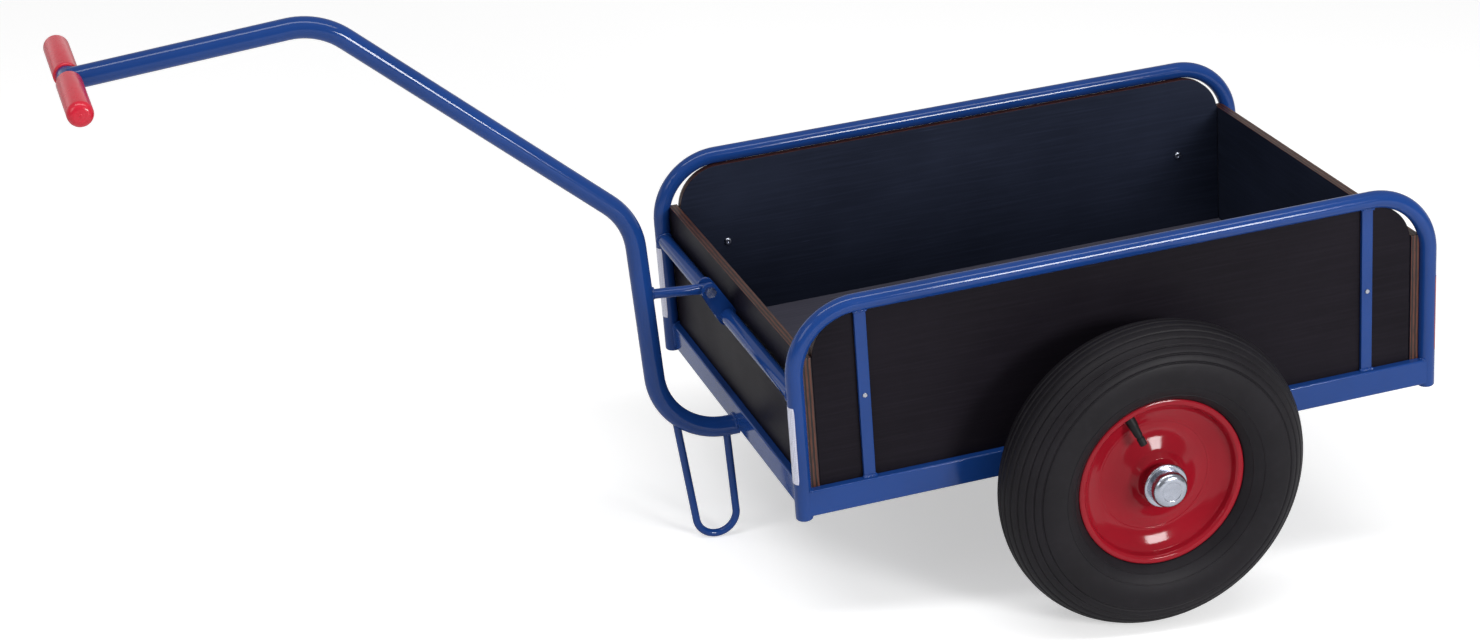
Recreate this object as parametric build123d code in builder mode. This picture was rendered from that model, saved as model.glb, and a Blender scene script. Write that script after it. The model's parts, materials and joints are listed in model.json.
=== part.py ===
from build123d import *
from math import asin, atan2, cos, hypot, radians, sin, sqrt
import os

# Two-wheeled hand cart with a plywood load box, a fixed drawbar and a loop stand.
# Millimetres. Row frame: +X forward to the handle, +Y to the left, +Z up, ground at Z = 0.
# Bed frame: the same axes pitched nose-down about the axle, as the cart parks on its stand.
# Heights named below are bed heights above the axle's centre line unless they say otherwise.

# Load box
bed_length = 800.0  # clear length between the end panels
bed_width = 535.0  # clear width between the side panels
panel_thickness = 12.0
panel_play = 0.3  # play around the floor board and at the ends of the side panels
side_panel_corner = 57.0
side_panel_drop = 2.0  # side panel top below the underside of the hoop
end_panel_drop = 60.0  # end panel top below the hoop's centre line

# Hoops of round tube, one on each side
hoop_tube = 22.0
hoop_wall = 2.0
hoop_height = 266.0  # centre line of the top run
hoop_bend = 82.0
hoop_foot = -5.0
hoop_foot_round = 3.0
hoop_plug = 4.0  # closed foot of each post
post_play = 0.5  # end panel to post

# Base rails: flat-sided bars coped to the posts, with a ledge that carries the boards
rail_bottom = 0.5
rail_height = 34.0
rail_setback = 1.0  # side rail's face inside the outside of the posts
ledge_bottom = 20.0
ledge_thickness = 4.0
ledge_lap = 15.0  # ledge under the floor board

# Straps and cross tubes
strap_width = 20.0
strap_thickness = 5.0
strap_inset = 86.5  # strap centre line to post centre line
cross_tube = 20.0
cross_wall = 2.0
cross_height = 159.0

# Button-head screws that hold the side panels to the straps
screw_height = 144.0
screw_shank = 6.0
screw_clearance = 0.1
screw_head = 10.5
screw_head_height = 3.3
screw_head_round = 2.6
screw_socket = 4.0  # across flats
screw_socket_depth = 1.8
screw_tip = 1.5  # shank past the strap
screw_tip_chamfer = 0.5

# Drawbar and T-handle
drawbar_tube = 26.5
drawbar_wall = 2.0
drawbar_bend = 92.0
drawbar_foot_run = 5.5  # straight run from the front rail to the first bend
drawbar_foot_height = 1.0
drawbar_plug = 3.0
drawbar_route = (  # corner forward of the upright's foot, corner height
    (0.0, drawbar_foot_height),
    (12.8, 308.6),
    (367.5, 628.4),
    (664.0, 609.2),
)
tee_tube = 25.0
tee_wall = 2.0
tee_half_length = 136.0
grip_diameter = 31.0
grip_gap = 29.0  # bare middle of the T-bar
grip_cap = 6.0  # closed end of each grip
grip_round = 9.0
grip_lip_round = 3.0
grip_play = 0.1

# Strut from the drawbar to the bracket on the front cross tube
strut_tube = 15.0
strut_rise = 46.0  # strut at the drawbar above the cross tube
strut_bolt_forward = 20.5  # strut bolt forward of the cross tube
strut_bolt_rise = 38.0  # strut bolt above the cross tube
strut_end = 9.0  # strut past its bolt
bracket_plate = 4.0
bracket_collar = 3.0
bracket_lug = 11.0
bracket_play = 0.3
bolt_shank = 8.0
bolt_clearance = 0.2
bolt_head = 13.0  # across flats
bolt_head_height = 5.5

# Loop stand of round bar
stand_bar = 10.0
stand_forward = 35.5  # centre of the foot's bend forward of the front rail
stand_bend = 27.5
stand_bend_height = -122.5  # centre of the foot's bend
stand_rear_lean = 1.9  # rear leg, degrees
stand_lean = 5.9  # front leg, degrees

# Axle, spacers and end caps
axle_diameter = 20.0
axle_clearance = 0.05  # running clearance of the hub on the axle
spacer_diameter = 32.0
hub_play = 0.5  # end play of the hub
washer_diameter = 52.0
washer_thickness = 5.0
washer_round = 2.0
cap_diameter = 42.0
cap_height = 17.0
cap_round = 8.0
cap_wall = 2.0
axle_tip = 11.0  # axle end inside the cap

# Wheels
seat_diameter = 202.4  # bead seat of the rim
tyre_height = 98.8  # bead seat to tread
tyre_width = 100.0
tyre_gap = 21.0  # tyre to hoop tube
tyre_wall = 9.0
tyre_play = 0.3  # bead to rim
bead_width = 12.0
groove_count = 6
groove_arc = 102.0  # degrees of the tyre's section that the grooves span
groove_width = 3.0
groove_depth = 2.5
flange_height = 8.3  # flange above the bead seat
flange_thickness = 3.5
rim_half_width = 31.0
well_depth = 15.2  # well below the bead seat
well_half_width = 11.0
rim_sheet = 4.0
dish_half_thickness = 2.0  # thinnest place, on the floor of the dish
dish_rise = 16.0  # boss round the hub above the thinnest place
dish_boss = 20.0  # width of the boss round the hub
lip_round = 2.5
hub_diameter = 44.0
hub_inner_reach = 46.0
hub_outer_reach = 37.0
valve_diameter = 10.5
valve_foot_diameter = 12.0
valve_foot_length = 14.0
valve_length = 34.0
valve_root_drop = 9.0  # root inside the bead seat
valve_root_inset = 8.5  # root inwards of the flange
valve_angle = 68.0  # up from the forward direction, degrees
valve_splay = 18.0  # outward lean, degrees

# Derived places
hoop_radius = hoop_tube / 2
cross_radius = cross_tube / 2
strut_radius = strut_tube / 2
axle_radius = axle_diameter / 2
hub_radius = hub_diameter / 2
seat_radius = seat_diameter / 2
wheel_radius = seat_radius + tyre_height
strap_half = strap_thickness / 2
panel_y = bed_width / 2 + panel_thickness
hoop_y = panel_y + strap_half
rail_y = hoop_y + hoop_radius - rail_setback
rail_top = rail_bottom + rail_height
end_panel_x = bed_length / 2 + panel_thickness
post_x = end_panel_x + post_play + hoop_radius
rail_x = end_panel_x + post_play  # inner face of the end rails
front_face = post_x
strap_x = post_x - strap_inset
ledge_x = bed_length / 2 - ledge_lap
ledge_y = bed_width / 2 - ledge_lap
ledge_top = ledge_bottom + ledge_thickness
side_panel_top = hoop_height - hoop_radius - side_panel_drop
end_panel_top = hoop_height - end_panel_drop
upright_x = front_face + drawbar_foot_run + drawbar_bend
tee_x = upright_x + drawbar_route[-1][0]
tee_z = drawbar_route[-1][1]
strut_bolt_x = post_x + strut_bolt_forward
strut_bolt_z = cross_height + strut_bolt_rise
cheek_y = strut_radius + bracket_play
wheel_y = hoop_y + hoop_radius + tyre_gap + tyre_width / 2
hub_inner_y = wheel_y - hub_inner_reach
washer_y = wheel_y + hub_outer_reach + hub_play
cap_y = washer_y + washer_thickness
axle_end_y = cap_y + axle_tip

# Parked pitch: the stand's foot and the tyres touch the ground together.
foot_x = front_face + stand_forward
foot_radius = stand_bend + stand_bar / 2
foot_distance = hypot(foot_x, stand_bend_height)
bed_pitch = asin((wheel_radius - foot_radius) / foot_distance) - atan2(-stand_bend_height, foot_x)

# The row's origin lies on the ground under the middle of the parked cart's length.
front_reach = tee_x * cos(bed_pitch) + tee_z * sin(bed_pitch) + grip_diameter / 2
rear_reach = (post_x + hoop_radius) * cos(bed_pitch) - (hoop_foot + hoop_foot_round) * sin(bed_pitch)
bed = Plane(
    origin=((rear_reach - front_reach) / 2, 0, wheel_radius),
    x_dir=(cos(bed_pitch), 0, -sin(bed_pitch)),
    z_dir=(sin(bed_pitch), 0, cos(bed_pitch)),
)
axle_axis = Axis(bed.origin, (0, 1, 0))
sides = (("left", 1), ("right", -1))  # name, sign of Y
ends = (("front", 1), ("rear", -1))  # name, sign of bed X
screw_spots = [(end_sign * strap_x, screw_height) for _, end_sign in ends]
os.makedirs("parts", exist_ok=True)


def bed_point(x, y, z):
    """Row position of a point given in the bed frame."""
    return bed.from_local_coords(Vector(x, y, z))


def side_plane(y):
    """Upright plane along the bed at offset y, drawn in bed length and height, facing -Y."""
    return Plane(origin=bed_point(0, y, 0), x_dir=bed.x_dir, z_dir=(0, -1, 0))


def cross_plane(x):
    """Upright plane across the bed at length x, drawn in width and bed height, facing forward."""
    return Plane(origin=bed_point(x, 0, 0), x_dir=(0, 1, 0), z_dir=bed.x_dir)


def wheel_plane(sign):
    """Plane through a wheel's middle, drawn in radius and distance outwards along the axle."""
    return Plane(origin=bed_point(0, sign * wheel_y, 0), x_dir=bed.x_dir, z_dir=bed.z_dir * sign)


def axle_plane(sign, y):
    """Plane square to the axle at distance y from the middle, facing outwards."""
    return Plane(origin=bed_point(0, sign * y, 0), x_dir=bed.x_dir, z_dir=(0, sign, 0))


def bent_bar(plane, corners, bend, diameter):
    """Solid round bar along straight runs joined by bends."""
    with BuildPart() as bar:
        with BuildLine(plane) as route:
            FilletPolyline(*corners, radius=bend)
        with BuildSketch(Plane(origin=route.wire() @ 0, z_dir=route.wire() % 0)):
            Circle(diameter / 2)
        sweep(path=route.wire())
    return bar.part


def straight_bar(start, end, diameter):
    """Solid round bar between two points given in the bed frame."""
    first = bed_point(*start)
    last = bed_point(*end)
    with BuildPart() as bar:
        with BuildSketch(Plane(origin=first, z_dir=last - first)):
            Circle(diameter / 2)
        extrude(amount=(last - first).length)
    return bar.part


def keep(builder, name):
    """Label a finished piece and write its STEP file."""
    builder.part.label = name
    export_step(builder.part, f"parts/{name}.step")


def hoop_corners(foot):
    """Corners of a hoop's centre line, from one foot over the top to the other."""
    return (-post_x, foot), (-post_x, hoop_height), (post_x, hoop_height), (post_x, foot)


def drawbar_corners(start):
    """Corners of the drawbar's centre line from a start near the front rail to the T-bar."""
    route = [(upright_x + forward, height) for forward, height in drawbar_route]
    return [(start, drawbar_foot_height)] + route


# Outer envelopes of the tubes and the axle, which the pieces welded to them are coped against
hoop_envelopes = {}
for side, sign in sides:
    hoop_envelopes[side] = bent_bar(
        side_plane(sign * hoop_y), hoop_corners(hoop_foot), hoop_bend, hoop_tube
    )
cross_envelopes = {}
for end, sign in ends:
    cross_envelopes[end] = straight_bar(
        (sign * post_x, -hoop_y, cross_height), (sign * post_x, hoop_y, cross_height), cross_tube
    )
drawbar_envelope = bent_bar(side_plane(0), drawbar_corners(front_face), drawbar_bend, drawbar_tube)
tee_envelope = straight_bar(
    (tee_x, -tee_half_length, tee_z), (tee_x, tee_half_length, tee_z), tee_tube
)
axle_envelope = straight_bar((0, -axle_end_y, 0), (0, axle_end_y, 0), axle_diameter)

# Hoops: bent tube, closed and rounded at both feet
for side, sign in sides:
    bore = bent_bar(
        side_plane(sign * hoop_y),
        hoop_corners(hoop_foot + hoop_plug),
        hoop_bend,
        hoop_tube - 2 * hoop_wall,
    )
    with BuildPart() as hoop:
        add(hoop_envelopes[side])
        rings = hoop.edges().filter_by(GeomType.CIRCLE)
        fillet(rings.filter_by(lambda ring: bed.to_local_coords(ring.center()).Z < 0), hoop_foot_round)
        add(bore, mode=Mode.SUBTRACT)
    keep(hoop, f"hoop_{side}")

# Side rails: bar coped to the posts, inner ledge, notch for the axle
for side, sign in sides:
    with BuildPart() as side_rail:
        with BuildSketch(side_plane(sign * panel_y)):
            with Locations((0, rail_bottom)):
                Rectangle(2 * post_x, rail_height, align=(Align.CENTER, Align.MIN))
        extrude(amount=rail_y - panel_y, dir=(0, sign, 0))
        with BuildSketch(bed.offset(ledge_bottom)):
            with Locations((0, sign * (ledge_y + panel_y) / 2)):
                Rectangle(2 * ledge_x, panel_y - ledge_y)
        extrude(amount=ledge_thickness)
        add(hoop_envelopes[side], mode=Mode.SUBTRACT)
        add(axle_envelope, mode=Mode.SUBTRACT)
    keep(side_rail, f"side_rail_{side}")

# End rails: the same height across the cart between the posts, flush with their middles
for end, sign in ends:
    with BuildPart() as end_rail:
        with BuildSketch(cross_plane(sign * rail_x)):
            with Locations((0, rail_bottom)):
                Rectangle(2 * panel_y, rail_height, align=(Align.CENTER, Align.MIN))
        extrude(amount=post_x - rail_x, dir=bed.x_dir * sign)
        with BuildSketch(bed.offset(ledge_bottom)):
            with Locations((sign * (ledge_x + rail_x) / 2, 0)):
                Rectangle(rail_x - ledge_x, 2 * panel_y)
        extrude(amount=ledge_thickness)
        for side in hoop_envelopes:
            add(hoop_envelopes[side], mode=Mode.SUBTRACT)
    keep(end_rail, f"{end}_rail")

# Cross tubes between the posts, coped to them
for end, sign in ends:
    bore = straight_bar(
        (sign * post_x, -hoop_y, cross_height),
        (sign * post_x, hoop_y, cross_height),
        cross_tube - 2 * cross_wall,
    )
    with BuildPart() as cross:
        add(cross_envelopes[end])
        add(bore, mode=Mode.SUBTRACT)
        for side in hoop_envelopes:
            add(hoop_envelopes[side], mode=Mode.SUBTRACT)
    keep(cross, f"{end}_cross_tube")

# Flat straps from the side rails up to the hoop's top run
for side, side_sign in sides:
    for end, end_sign in ends:
        with BuildPart() as strap:
            with BuildSketch(side_plane(side_sign * hoop_y)):
                with Locations((end_sign * strap_x, rail_top)):
                    Rectangle(strap_width, hoop_height - rail_top, align=(Align.CENTER, Align.MIN))
                with Locations((end_sign * strap_x, screw_height)):
                    Circle(screw_shank / 2 + screw_clearance, mode=Mode.SUBTRACT)
            extrude(amount=strap_half, both=True)
            add(hoop_envelopes[side], mode=Mode.SUBTRACT)
        keep(strap, f"strap_{side}_{end}")

# Boards of the load box
with BuildPart() as floor_board:
    with BuildSketch(bed.offset(ledge_top)):
        Rectangle(bed_length - 2 * panel_play, bed_width - 2 * panel_play)
    extrude(amount=panel_thickness)
keep(floor_board, "floor_board")

for side, sign in sides:
    with BuildPart() as side_panel:
        with BuildSketch(side_plane(sign * panel_y)) as outline:
            with Locations((0, ledge_top)):
                Rectangle(
                    bed_length - 2 * panel_play,
                    side_panel_top - ledge_top,
                    align=(Align.CENTER, Align.MIN),
                )
            fillet(outline.vertices().group_by(Axis.Y)[-1], side_panel_corner)
            with Locations(*screw_spots):
                Circle(screw_shank / 2 + screw_clearance, mode=Mode.SUBTRACT)
        extrude(amount=panel_thickness, dir=(0, -sign, 0))
    keep(side_panel, f"side_panel_{side}")

# Screws: button head with a hex socket inside the box, tip just through the strap
for side, sign in sides:
    inner_face = side_plane(sign * (panel_y - panel_thickness))
    head_face = side_plane(sign * (panel_y - panel_thickness - screw_head_height))
    head_end, tip_end = (0, -1) if sign > 0 else (-1, 0)
    with BuildPart() as screws:
        with BuildSketch(inner_face):
            with Locations(*screw_spots):
                Circle(screw_shank / 2)
        extrude(amount=panel_thickness + strap_thickness + screw_tip, dir=(0, sign, 0))
        with BuildSketch(inner_face):
            with Locations(*screw_spots):
                Circle(screw_head / 2)
        extrude(amount=screw_head_height, dir=(0, -sign, 0))
        fillet(screws.edges().group_by(Axis.Y)[head_end], screw_head_round)
        chamfer(screws.edges().group_by(Axis.Y)[tip_end], screw_tip_chamfer)
        with BuildSketch(head_face):
            with Locations(*screw_spots):
                RegularPolygon(screw_socket / 2, 6, major_radius=False)
        extrude(amount=screw_socket_depth, dir=(0, sign, 0), mode=Mode.SUBTRACT)
    keep(screws, f"panel_screws_{side}")

for end, sign in ends:
    with BuildPart() as end_panel:
        with BuildSketch(cross_plane(sign * end_panel_x)):
            with Locations((0, ledge_top)):
                Rectangle(2 * panel_y, end_panel_top - ledge_top, align=(Align.CENTER, Align.MIN))
        extrude(amount=panel_thickness, dir=bed.x_dir * -sign)
        for side in hoop_envelopes:
            add(hoop_envelopes[side], mode=Mode.SUBTRACT)
    keep(end_panel, f"end_panel_{end}")

# Drawbar: bent tube, plugged at its foot and coped to the T-bar
bore = bent_bar(
    side_plane(0),
    drawbar_corners(front_face + drawbar_plug),
    drawbar_bend,
    drawbar_tube - 2 * drawbar_wall,
)
with BuildPart() as drawbar:
    add(drawbar_envelope)
    add(bore, mode=Mode.SUBTRACT)
    add(tee_envelope, mode=Mode.SUBTRACT)
keep(drawbar, "drawbar")

with BuildPart() as tee_bar:
    add(tee_envelope)
    with BuildSketch(Plane(origin=bed_point(tee_x, 0, tee_z), z_dir=(0, 1, 0))):
        Circle(tee_tube / 2 - tee_wall)
    extrude(amount=tee_half_length, both=True, mode=Mode.SUBTRACT)
keep(tee_bar, "tee_bar")

# Grips: sleeves with a closed, rounded outer end
for side, sign in sides:
    with BuildPart() as grip:
        root = Plane(origin=bed_point(tee_x, sign * grip_gap / 2, tee_z), z_dir=(0, sign, 0))
        with BuildSketch(root):
            Circle(grip_diameter / 2)
        extrude(amount=tee_half_length + grip_cap - grip_gap / 2)
        fillet(grip.edges().sort_by(Axis.Y)[-1 if sign > 0 else 0], grip_round)
        fillet(grip.edges().sort_by(Axis.Y)[0 if sign > 0 else -1], grip_lip_round)
        with BuildSketch(root):
            Circle(tee_tube / 2 + grip_play)
        extrude(amount=tee_half_length + grip_play - grip_gap / 2, mode=Mode.SUBTRACT)
    keep(grip, f"grip_{side}")

# Bracket: two cheeks on a collar round the front cross tube, cut clear of the end panel
with BuildPart() as bracket:
    for side, sign in sides:
        with BuildSketch(side_plane(sign * cheek_y)):
            with Locations((post_x, cross_height)):
                Circle(cross_radius + bracket_collar)
            with Locations((strut_bolt_x, strut_bolt_z)):
                Circle(bracket_lug)
            make_hull()
            with Locations((strut_bolt_x, strut_bolt_z)):
                Circle(bolt_shank / 2 + bolt_clearance, mode=Mode.SUBTRACT)
        extrude(amount=bracket_plate, dir=(0, sign, 0))
    with BuildSketch(side_plane(0)):
        with Locations((post_x, cross_height)):
            Circle(cross_radius + bracket_collar)
    extrude(amount=cheek_y, both=True)
    with BuildSketch(side_plane(0)):
        with Locations((end_panel_x + post_play, cross_height)):
            Rectangle(cross_tube, 2 * cross_tube, align=(Align.MAX, Align.CENTER))
    extrude(amount=cheek_y + bracket_plate, both=True, mode=Mode.SUBTRACT)
    add(cross_envelopes["front"], mode=Mode.SUBTRACT)
keep(bracket, "strut_bracket")

# Strut: round bar from the drawbar's upright to the bracket's bolt
strut_z = cross_height + strut_rise
knee_forward, knee_height = drawbar_route[1]
strut_x = upright_x + knee_forward * (strut_z - drawbar_foot_height) / (knee_height - drawbar_foot_height)
strut_run = Vector(strut_bolt_x - strut_x, 0, strut_bolt_z - strut_z)
strut_tip = Vector(strut_bolt_x, 0, strut_bolt_z) + strut_run.normalized() * strut_end
strut_envelope = straight_bar((strut_x, 0, strut_z), tuple(strut_tip), strut_tube)
with BuildPart() as strut:
    add(strut_envelope)
    add(drawbar_envelope, mode=Mode.SUBTRACT)
    with BuildSketch(side_plane(0)):
        with Locations((strut_bolt_x, strut_bolt_z)):
            Circle(bolt_shank / 2 + bolt_clearance)
    extrude(amount=strut_tube, both=True, mode=Mode.SUBTRACT)
keep(strut, "strut")

with BuildPart() as strut_bolt:
    with BuildSketch(side_plane(0)):
        with Locations((strut_bolt_x, strut_bolt_z)):
            Circle(bolt_shank / 2)
    extrude(amount=cheek_y + bracket_plate, both=True)
    for side, sign in sides:
        with BuildSketch(side_plane(sign * (cheek_y + bracket_plate))):
            with Locations((strut_bolt_x, strut_bolt_z)):
                RegularPolygon(bolt_head / 2, 6, major_radius=False)
        extrude(amount=bolt_head_height, dir=(0, sign, 0))
keep(strut_bolt, "strut_bolt")

# Loop stand: rear leg, half-round foot and leaning front leg, coped to the drawbar
lean = radians(stand_lean)
rear_lean = radians(stand_rear_lean)
heel_x = foot_x - stand_bend * cos(rear_lean)
heel_z = stand_bend_height + stand_bend * sin(rear_lean)
rear_leg_height = drawbar_foot_height - heel_z
arc_end_x = foot_x + stand_bend * cos(lean)
arc_end_z = stand_bend_height - stand_bend * sin(lean)
from_bend_x = arc_end_x - (front_face + drawbar_foot_run)
from_bend_z = arc_end_z - (drawbar_foot_height + drawbar_bend)
along = from_bend_x * sin(lean) + from_bend_z * cos(lean)
front_leg = -along - sqrt(along**2 - from_bend_x**2 - from_bend_z**2 + drawbar_bend**2)
with BuildPart() as stand_loop:
    with BuildLine(side_plane(0)) as loop_route:
        rear_leg = Line(
            (heel_x + rear_leg_height * sin(rear_lean) / cos(rear_lean), drawbar_foot_height),
            (heel_x, heel_z),
        )
        foot_bend = JernArc(rear_leg @ 1, rear_leg % 1, stand_bend, 180 + stand_rear_lean - stand_lean)
        Line(foot_bend @ 1, (foot_bend @ 1) + (foot_bend % 1) * front_leg)
    with BuildSketch(Plane(origin=loop_route.wire() @ 0, z_dir=loop_route.wire() % 0)):
        Circle(stand_bar / 2)
    sweep(path=loop_route.wire())
    add(drawbar_envelope, mode=Mode.SUBTRACT)
keep(stand_loop, "stand_loop")

# Axle with its spacers, thrust washers and end caps
with BuildPart() as axle:
    add(axle_envelope)
keep(axle, "axle")

with BuildPart() as axle_spacers:
    for side, sign in sides:
        with BuildSketch(axle_plane(sign, rail_y)):
            Circle(spacer_diameter / 2)
            Circle(axle_radius, mode=Mode.SUBTRACT)
        extrude(amount=hub_inner_y - hub_play - rail_y)
keep(axle_spacers, "axle_spacers")

with BuildPart() as axle_washers:
    for side, sign in sides:
        with BuildSketch(axle_plane(sign, washer_y)):
            Circle(washer_diameter / 2)
            Circle(axle_radius, mode=Mode.SUBTRACT)
        extrude(amount=washer_thickness)
    edges = axle_washers.edges().filter_by(GeomType.CIRCLE).filter_by(lambda ring: ring.radius > axle_diameter)
    fillet(edges.filter_by(lambda ring: abs(ring.center().Y) > washer_y + washer_round), washer_round)
keep(axle_washers, "axle_washers")

for side, sign in sides:
    with BuildPart() as axle_cap:
        with BuildSketch(axle_plane(sign, cap_y)):
            Circle(cap_diameter / 2)
        extrude(amount=cap_height)
        fillet(axle_cap.edges().sort_by(Axis.Y)[-1 if sign > 0 else 0], cap_round)
        with BuildSketch(axle_plane(sign, cap_y)):
            Circle(axle_radius)
        extrude(amount=cap_height - cap_wall, mode=Mode.SUBTRACT)
    keep(axle_cap, f"axle_cap_{side}")

# Wheels: pressed rim in two dished halves, hub, ribbed tyre and valve
flange_radius = seat_radius + flange_height
well_radius = seat_radius - well_depth
dish_radius = (hub_radius + seat_radius) / 2 + dish_half_thickness
dish_round = (seat_radius - hub_radius) / 5
flange_inside = rim_half_width - flange_thickness
seat_end = flange_inside - bead_width - tyre_play
section_radius = tyre_width / 2
section_centre = wheel_radius - section_radius
bead_radius = seat_radius + tyre_play
bead_outer = flange_inside - tyre_play
bead_inner = bead_outer - bead_width
cavity_radius = section_radius - tyre_wall
for side, sign in sides:
    with BuildPart() as wheel_rim:
        with BuildSketch(wheel_plane(sign)):
            with BuildLine():
                bowl = FilletPolyline(
                    (hub_radius, dish_half_thickness + dish_rise + lip_round),
                    (hub_radius + dish_boss, dish_half_thickness + dish_rise),
                    (dish_radius, dish_half_thickness),
                    (seat_radius - 1.5 * rim_sheet, flange_inside - rim_sheet),
                    (seat_radius - rim_sheet, flange_inside),
                    (flange_radius, rim_half_width),
                    radius=(2 * lip_round, dish_round, lip_round, lip_round),
                )
                Polyline(
                    bowl @ 1,
                    (flange_radius, flange_inside),
                    (seat_radius, flange_inside),
                    (seat_radius, seat_end),
                    (well_radius, well_half_width),
                    (well_radius, 0),
                    (hub_radius, 0),
                    bowl @ 0,
                )
            make_face()
            mirror(about=Plane.XZ)
        revolve(axis=axle_axis)
    keep(wheel_rim, f"wheel_rim_{side}")

    with BuildPart() as hub:
        with BuildSketch(axle_plane(sign, hub_inner_y)):
            Circle(hub_radius)
            Circle(axle_radius + axle_clearance, mode=Mode.SUBTRACT)
        extrude(amount=hub_inner_reach + hub_outer_reach)
    keep(hub, f"hub_{side}")

    with BuildPart() as tyre:
        with BuildSketch(wheel_plane(sign)):
            with BuildLine():
                sidewall = section_centre - sqrt(section_radius**2 - rim_half_width**2)
                cavity = section_centre - sqrt(cavity_radius**2 - bead_inner**2)
                outside = ThreePointArc(
                    (sidewall, rim_half_width),
                    (section_centre, section_radius),
                    (section_centre + section_radius, 0),
                )
                inside = ThreePointArc(
                    (section_centre + cavity_radius, 0),
                    (section_centre, cavity_radius),
                    (cavity, bead_inner),
                )
                Line(outside @ 1, inside @ 0)
                Polyline(
                    inside @ 1,
                    (bead_radius, bead_inner),
                    (bead_radius, bead_outer),
                    (flange_radius + tyre_play, bead_outer),
                    outside @ 0,
                )
            make_face()
            mirror(about=Plane.XZ)
            with Locations((section_centre, 0)):
                with PolarLocations(
                    section_radius, groove_count, -groove_arc / 2, groove_arc, endpoint=True
                ):
                    Rectangle(2 * groove_depth, groove_width, mode=Mode.SUBTRACT)
        revolve(axis=axle_axis)
    keep(tyre, f"tyre_{side}")

    turn = radians(valve_angle)
    splay = radians(valve_splay)
    outward_ray = bed.x_dir * cos(turn) + bed.z_dir * sin(turn)
    valve_y = wheel_y + flange_inside - valve_root_inset
    valve_root = bed_point(0, sign * valve_y, 0) + outward_ray * (seat_radius - valve_root_drop)
    valve_plane = Plane(
        origin=valve_root, z_dir=outward_ray * -cos(splay) + Vector(0, sign * sin(splay), 0)
    )
    with BuildPart() as valve:
        with BuildSketch(valve_plane):
            Circle(valve_foot_diameter / 2)
        with BuildSketch(valve_plane.offset(valve_foot_length)):
            Circle(valve_diameter / 2)
        loft()
        with BuildSketch(valve_plane.offset(valve_foot_length)):
            Circle(valve_diameter / 2)
        extrude(amount=valve_length - valve_foot_length)
        add(wheel_rim.part, mode=Mode.SUBTRACT)
    keep(valve, f"valve_{side}")
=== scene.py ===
"""Hand cart in a studio: plywood load box, blue tube frame, bent drawbar with grips, pneumatic wheels.

Metres throughout. Pieces are drawn in the cart's own frame: origin on the axle, x forward to the handle,
y to the left, z square to the load floor. The wheels are drawn about their own middles.
"""

from __future__ import annotations

import json
import logging
import math
import random
from collections.abc import Iterable, Sequence
from dataclasses import dataclass
from enum import Enum

import bmesh
import bpy
from mathutils import Matrix, Vector

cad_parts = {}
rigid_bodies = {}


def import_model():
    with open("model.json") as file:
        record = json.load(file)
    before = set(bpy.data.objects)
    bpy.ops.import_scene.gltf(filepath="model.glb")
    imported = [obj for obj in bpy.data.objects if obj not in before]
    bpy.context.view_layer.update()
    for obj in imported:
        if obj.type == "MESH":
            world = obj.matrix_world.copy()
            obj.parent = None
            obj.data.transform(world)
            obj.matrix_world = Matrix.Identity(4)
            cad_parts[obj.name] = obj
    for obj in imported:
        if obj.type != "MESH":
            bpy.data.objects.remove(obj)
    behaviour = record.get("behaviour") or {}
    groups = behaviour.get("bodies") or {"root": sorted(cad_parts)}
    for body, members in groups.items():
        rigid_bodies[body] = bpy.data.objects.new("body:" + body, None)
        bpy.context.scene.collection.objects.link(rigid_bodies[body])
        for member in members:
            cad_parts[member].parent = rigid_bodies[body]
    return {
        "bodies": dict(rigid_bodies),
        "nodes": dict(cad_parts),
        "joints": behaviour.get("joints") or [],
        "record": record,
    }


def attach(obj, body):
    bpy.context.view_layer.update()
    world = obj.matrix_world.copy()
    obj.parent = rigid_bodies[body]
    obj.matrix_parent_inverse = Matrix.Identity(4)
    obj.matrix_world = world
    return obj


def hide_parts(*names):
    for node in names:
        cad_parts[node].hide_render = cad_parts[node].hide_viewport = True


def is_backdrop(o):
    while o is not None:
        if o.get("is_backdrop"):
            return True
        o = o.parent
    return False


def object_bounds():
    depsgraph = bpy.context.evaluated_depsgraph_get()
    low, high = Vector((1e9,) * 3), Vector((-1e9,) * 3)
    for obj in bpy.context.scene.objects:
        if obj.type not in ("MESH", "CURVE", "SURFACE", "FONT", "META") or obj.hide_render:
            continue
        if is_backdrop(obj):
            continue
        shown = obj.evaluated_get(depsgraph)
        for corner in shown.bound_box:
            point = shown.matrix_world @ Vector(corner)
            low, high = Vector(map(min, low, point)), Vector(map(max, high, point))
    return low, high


LOG = logging.getLogger("hand_cart")
PHOTO_WIDTH = 1480
SIDES = (("left", 1), ("right", -1))  # name, sign of y
ENDS = (("front", 1), ("rear", -1))  # name, sign of x
BEND_STEP = math.radians(4)  # angle between points on a bend
CREASE = 35.0  # degrees above which an edge stays sharp
WELD_CREASE = 70.0  # the same on weld beads
Colour = tuple[float, float, float, float]
Span = tuple[float, float]
Socket = bpy.types.NodeSocket


def shade(red: int, green: int, blue: int) -> Colour:
    """Linear colour of an 8-bit display colour.

    Args:
        red: Red channel.
        green: Green channel.
        blue: Blue channel.

    Returns:
        The linear colour, opaque.
    """

    def linear(value: int) -> float:
        """Linear share of one 8-bit channel."""
        part = value / 255
        return part / 12.92 if part <= 0.04045 else ((part + 0.055) / 1.055) ** 2.4

    return linear(red), linear(green), linear(blue), 1.0


def scaled(colour: Colour, share: float) -> Colour:
    """A colour made darker or lighter by a share."""
    return colour[0] * share, colour[1] * share, colour[2] * share, 1.0


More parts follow.
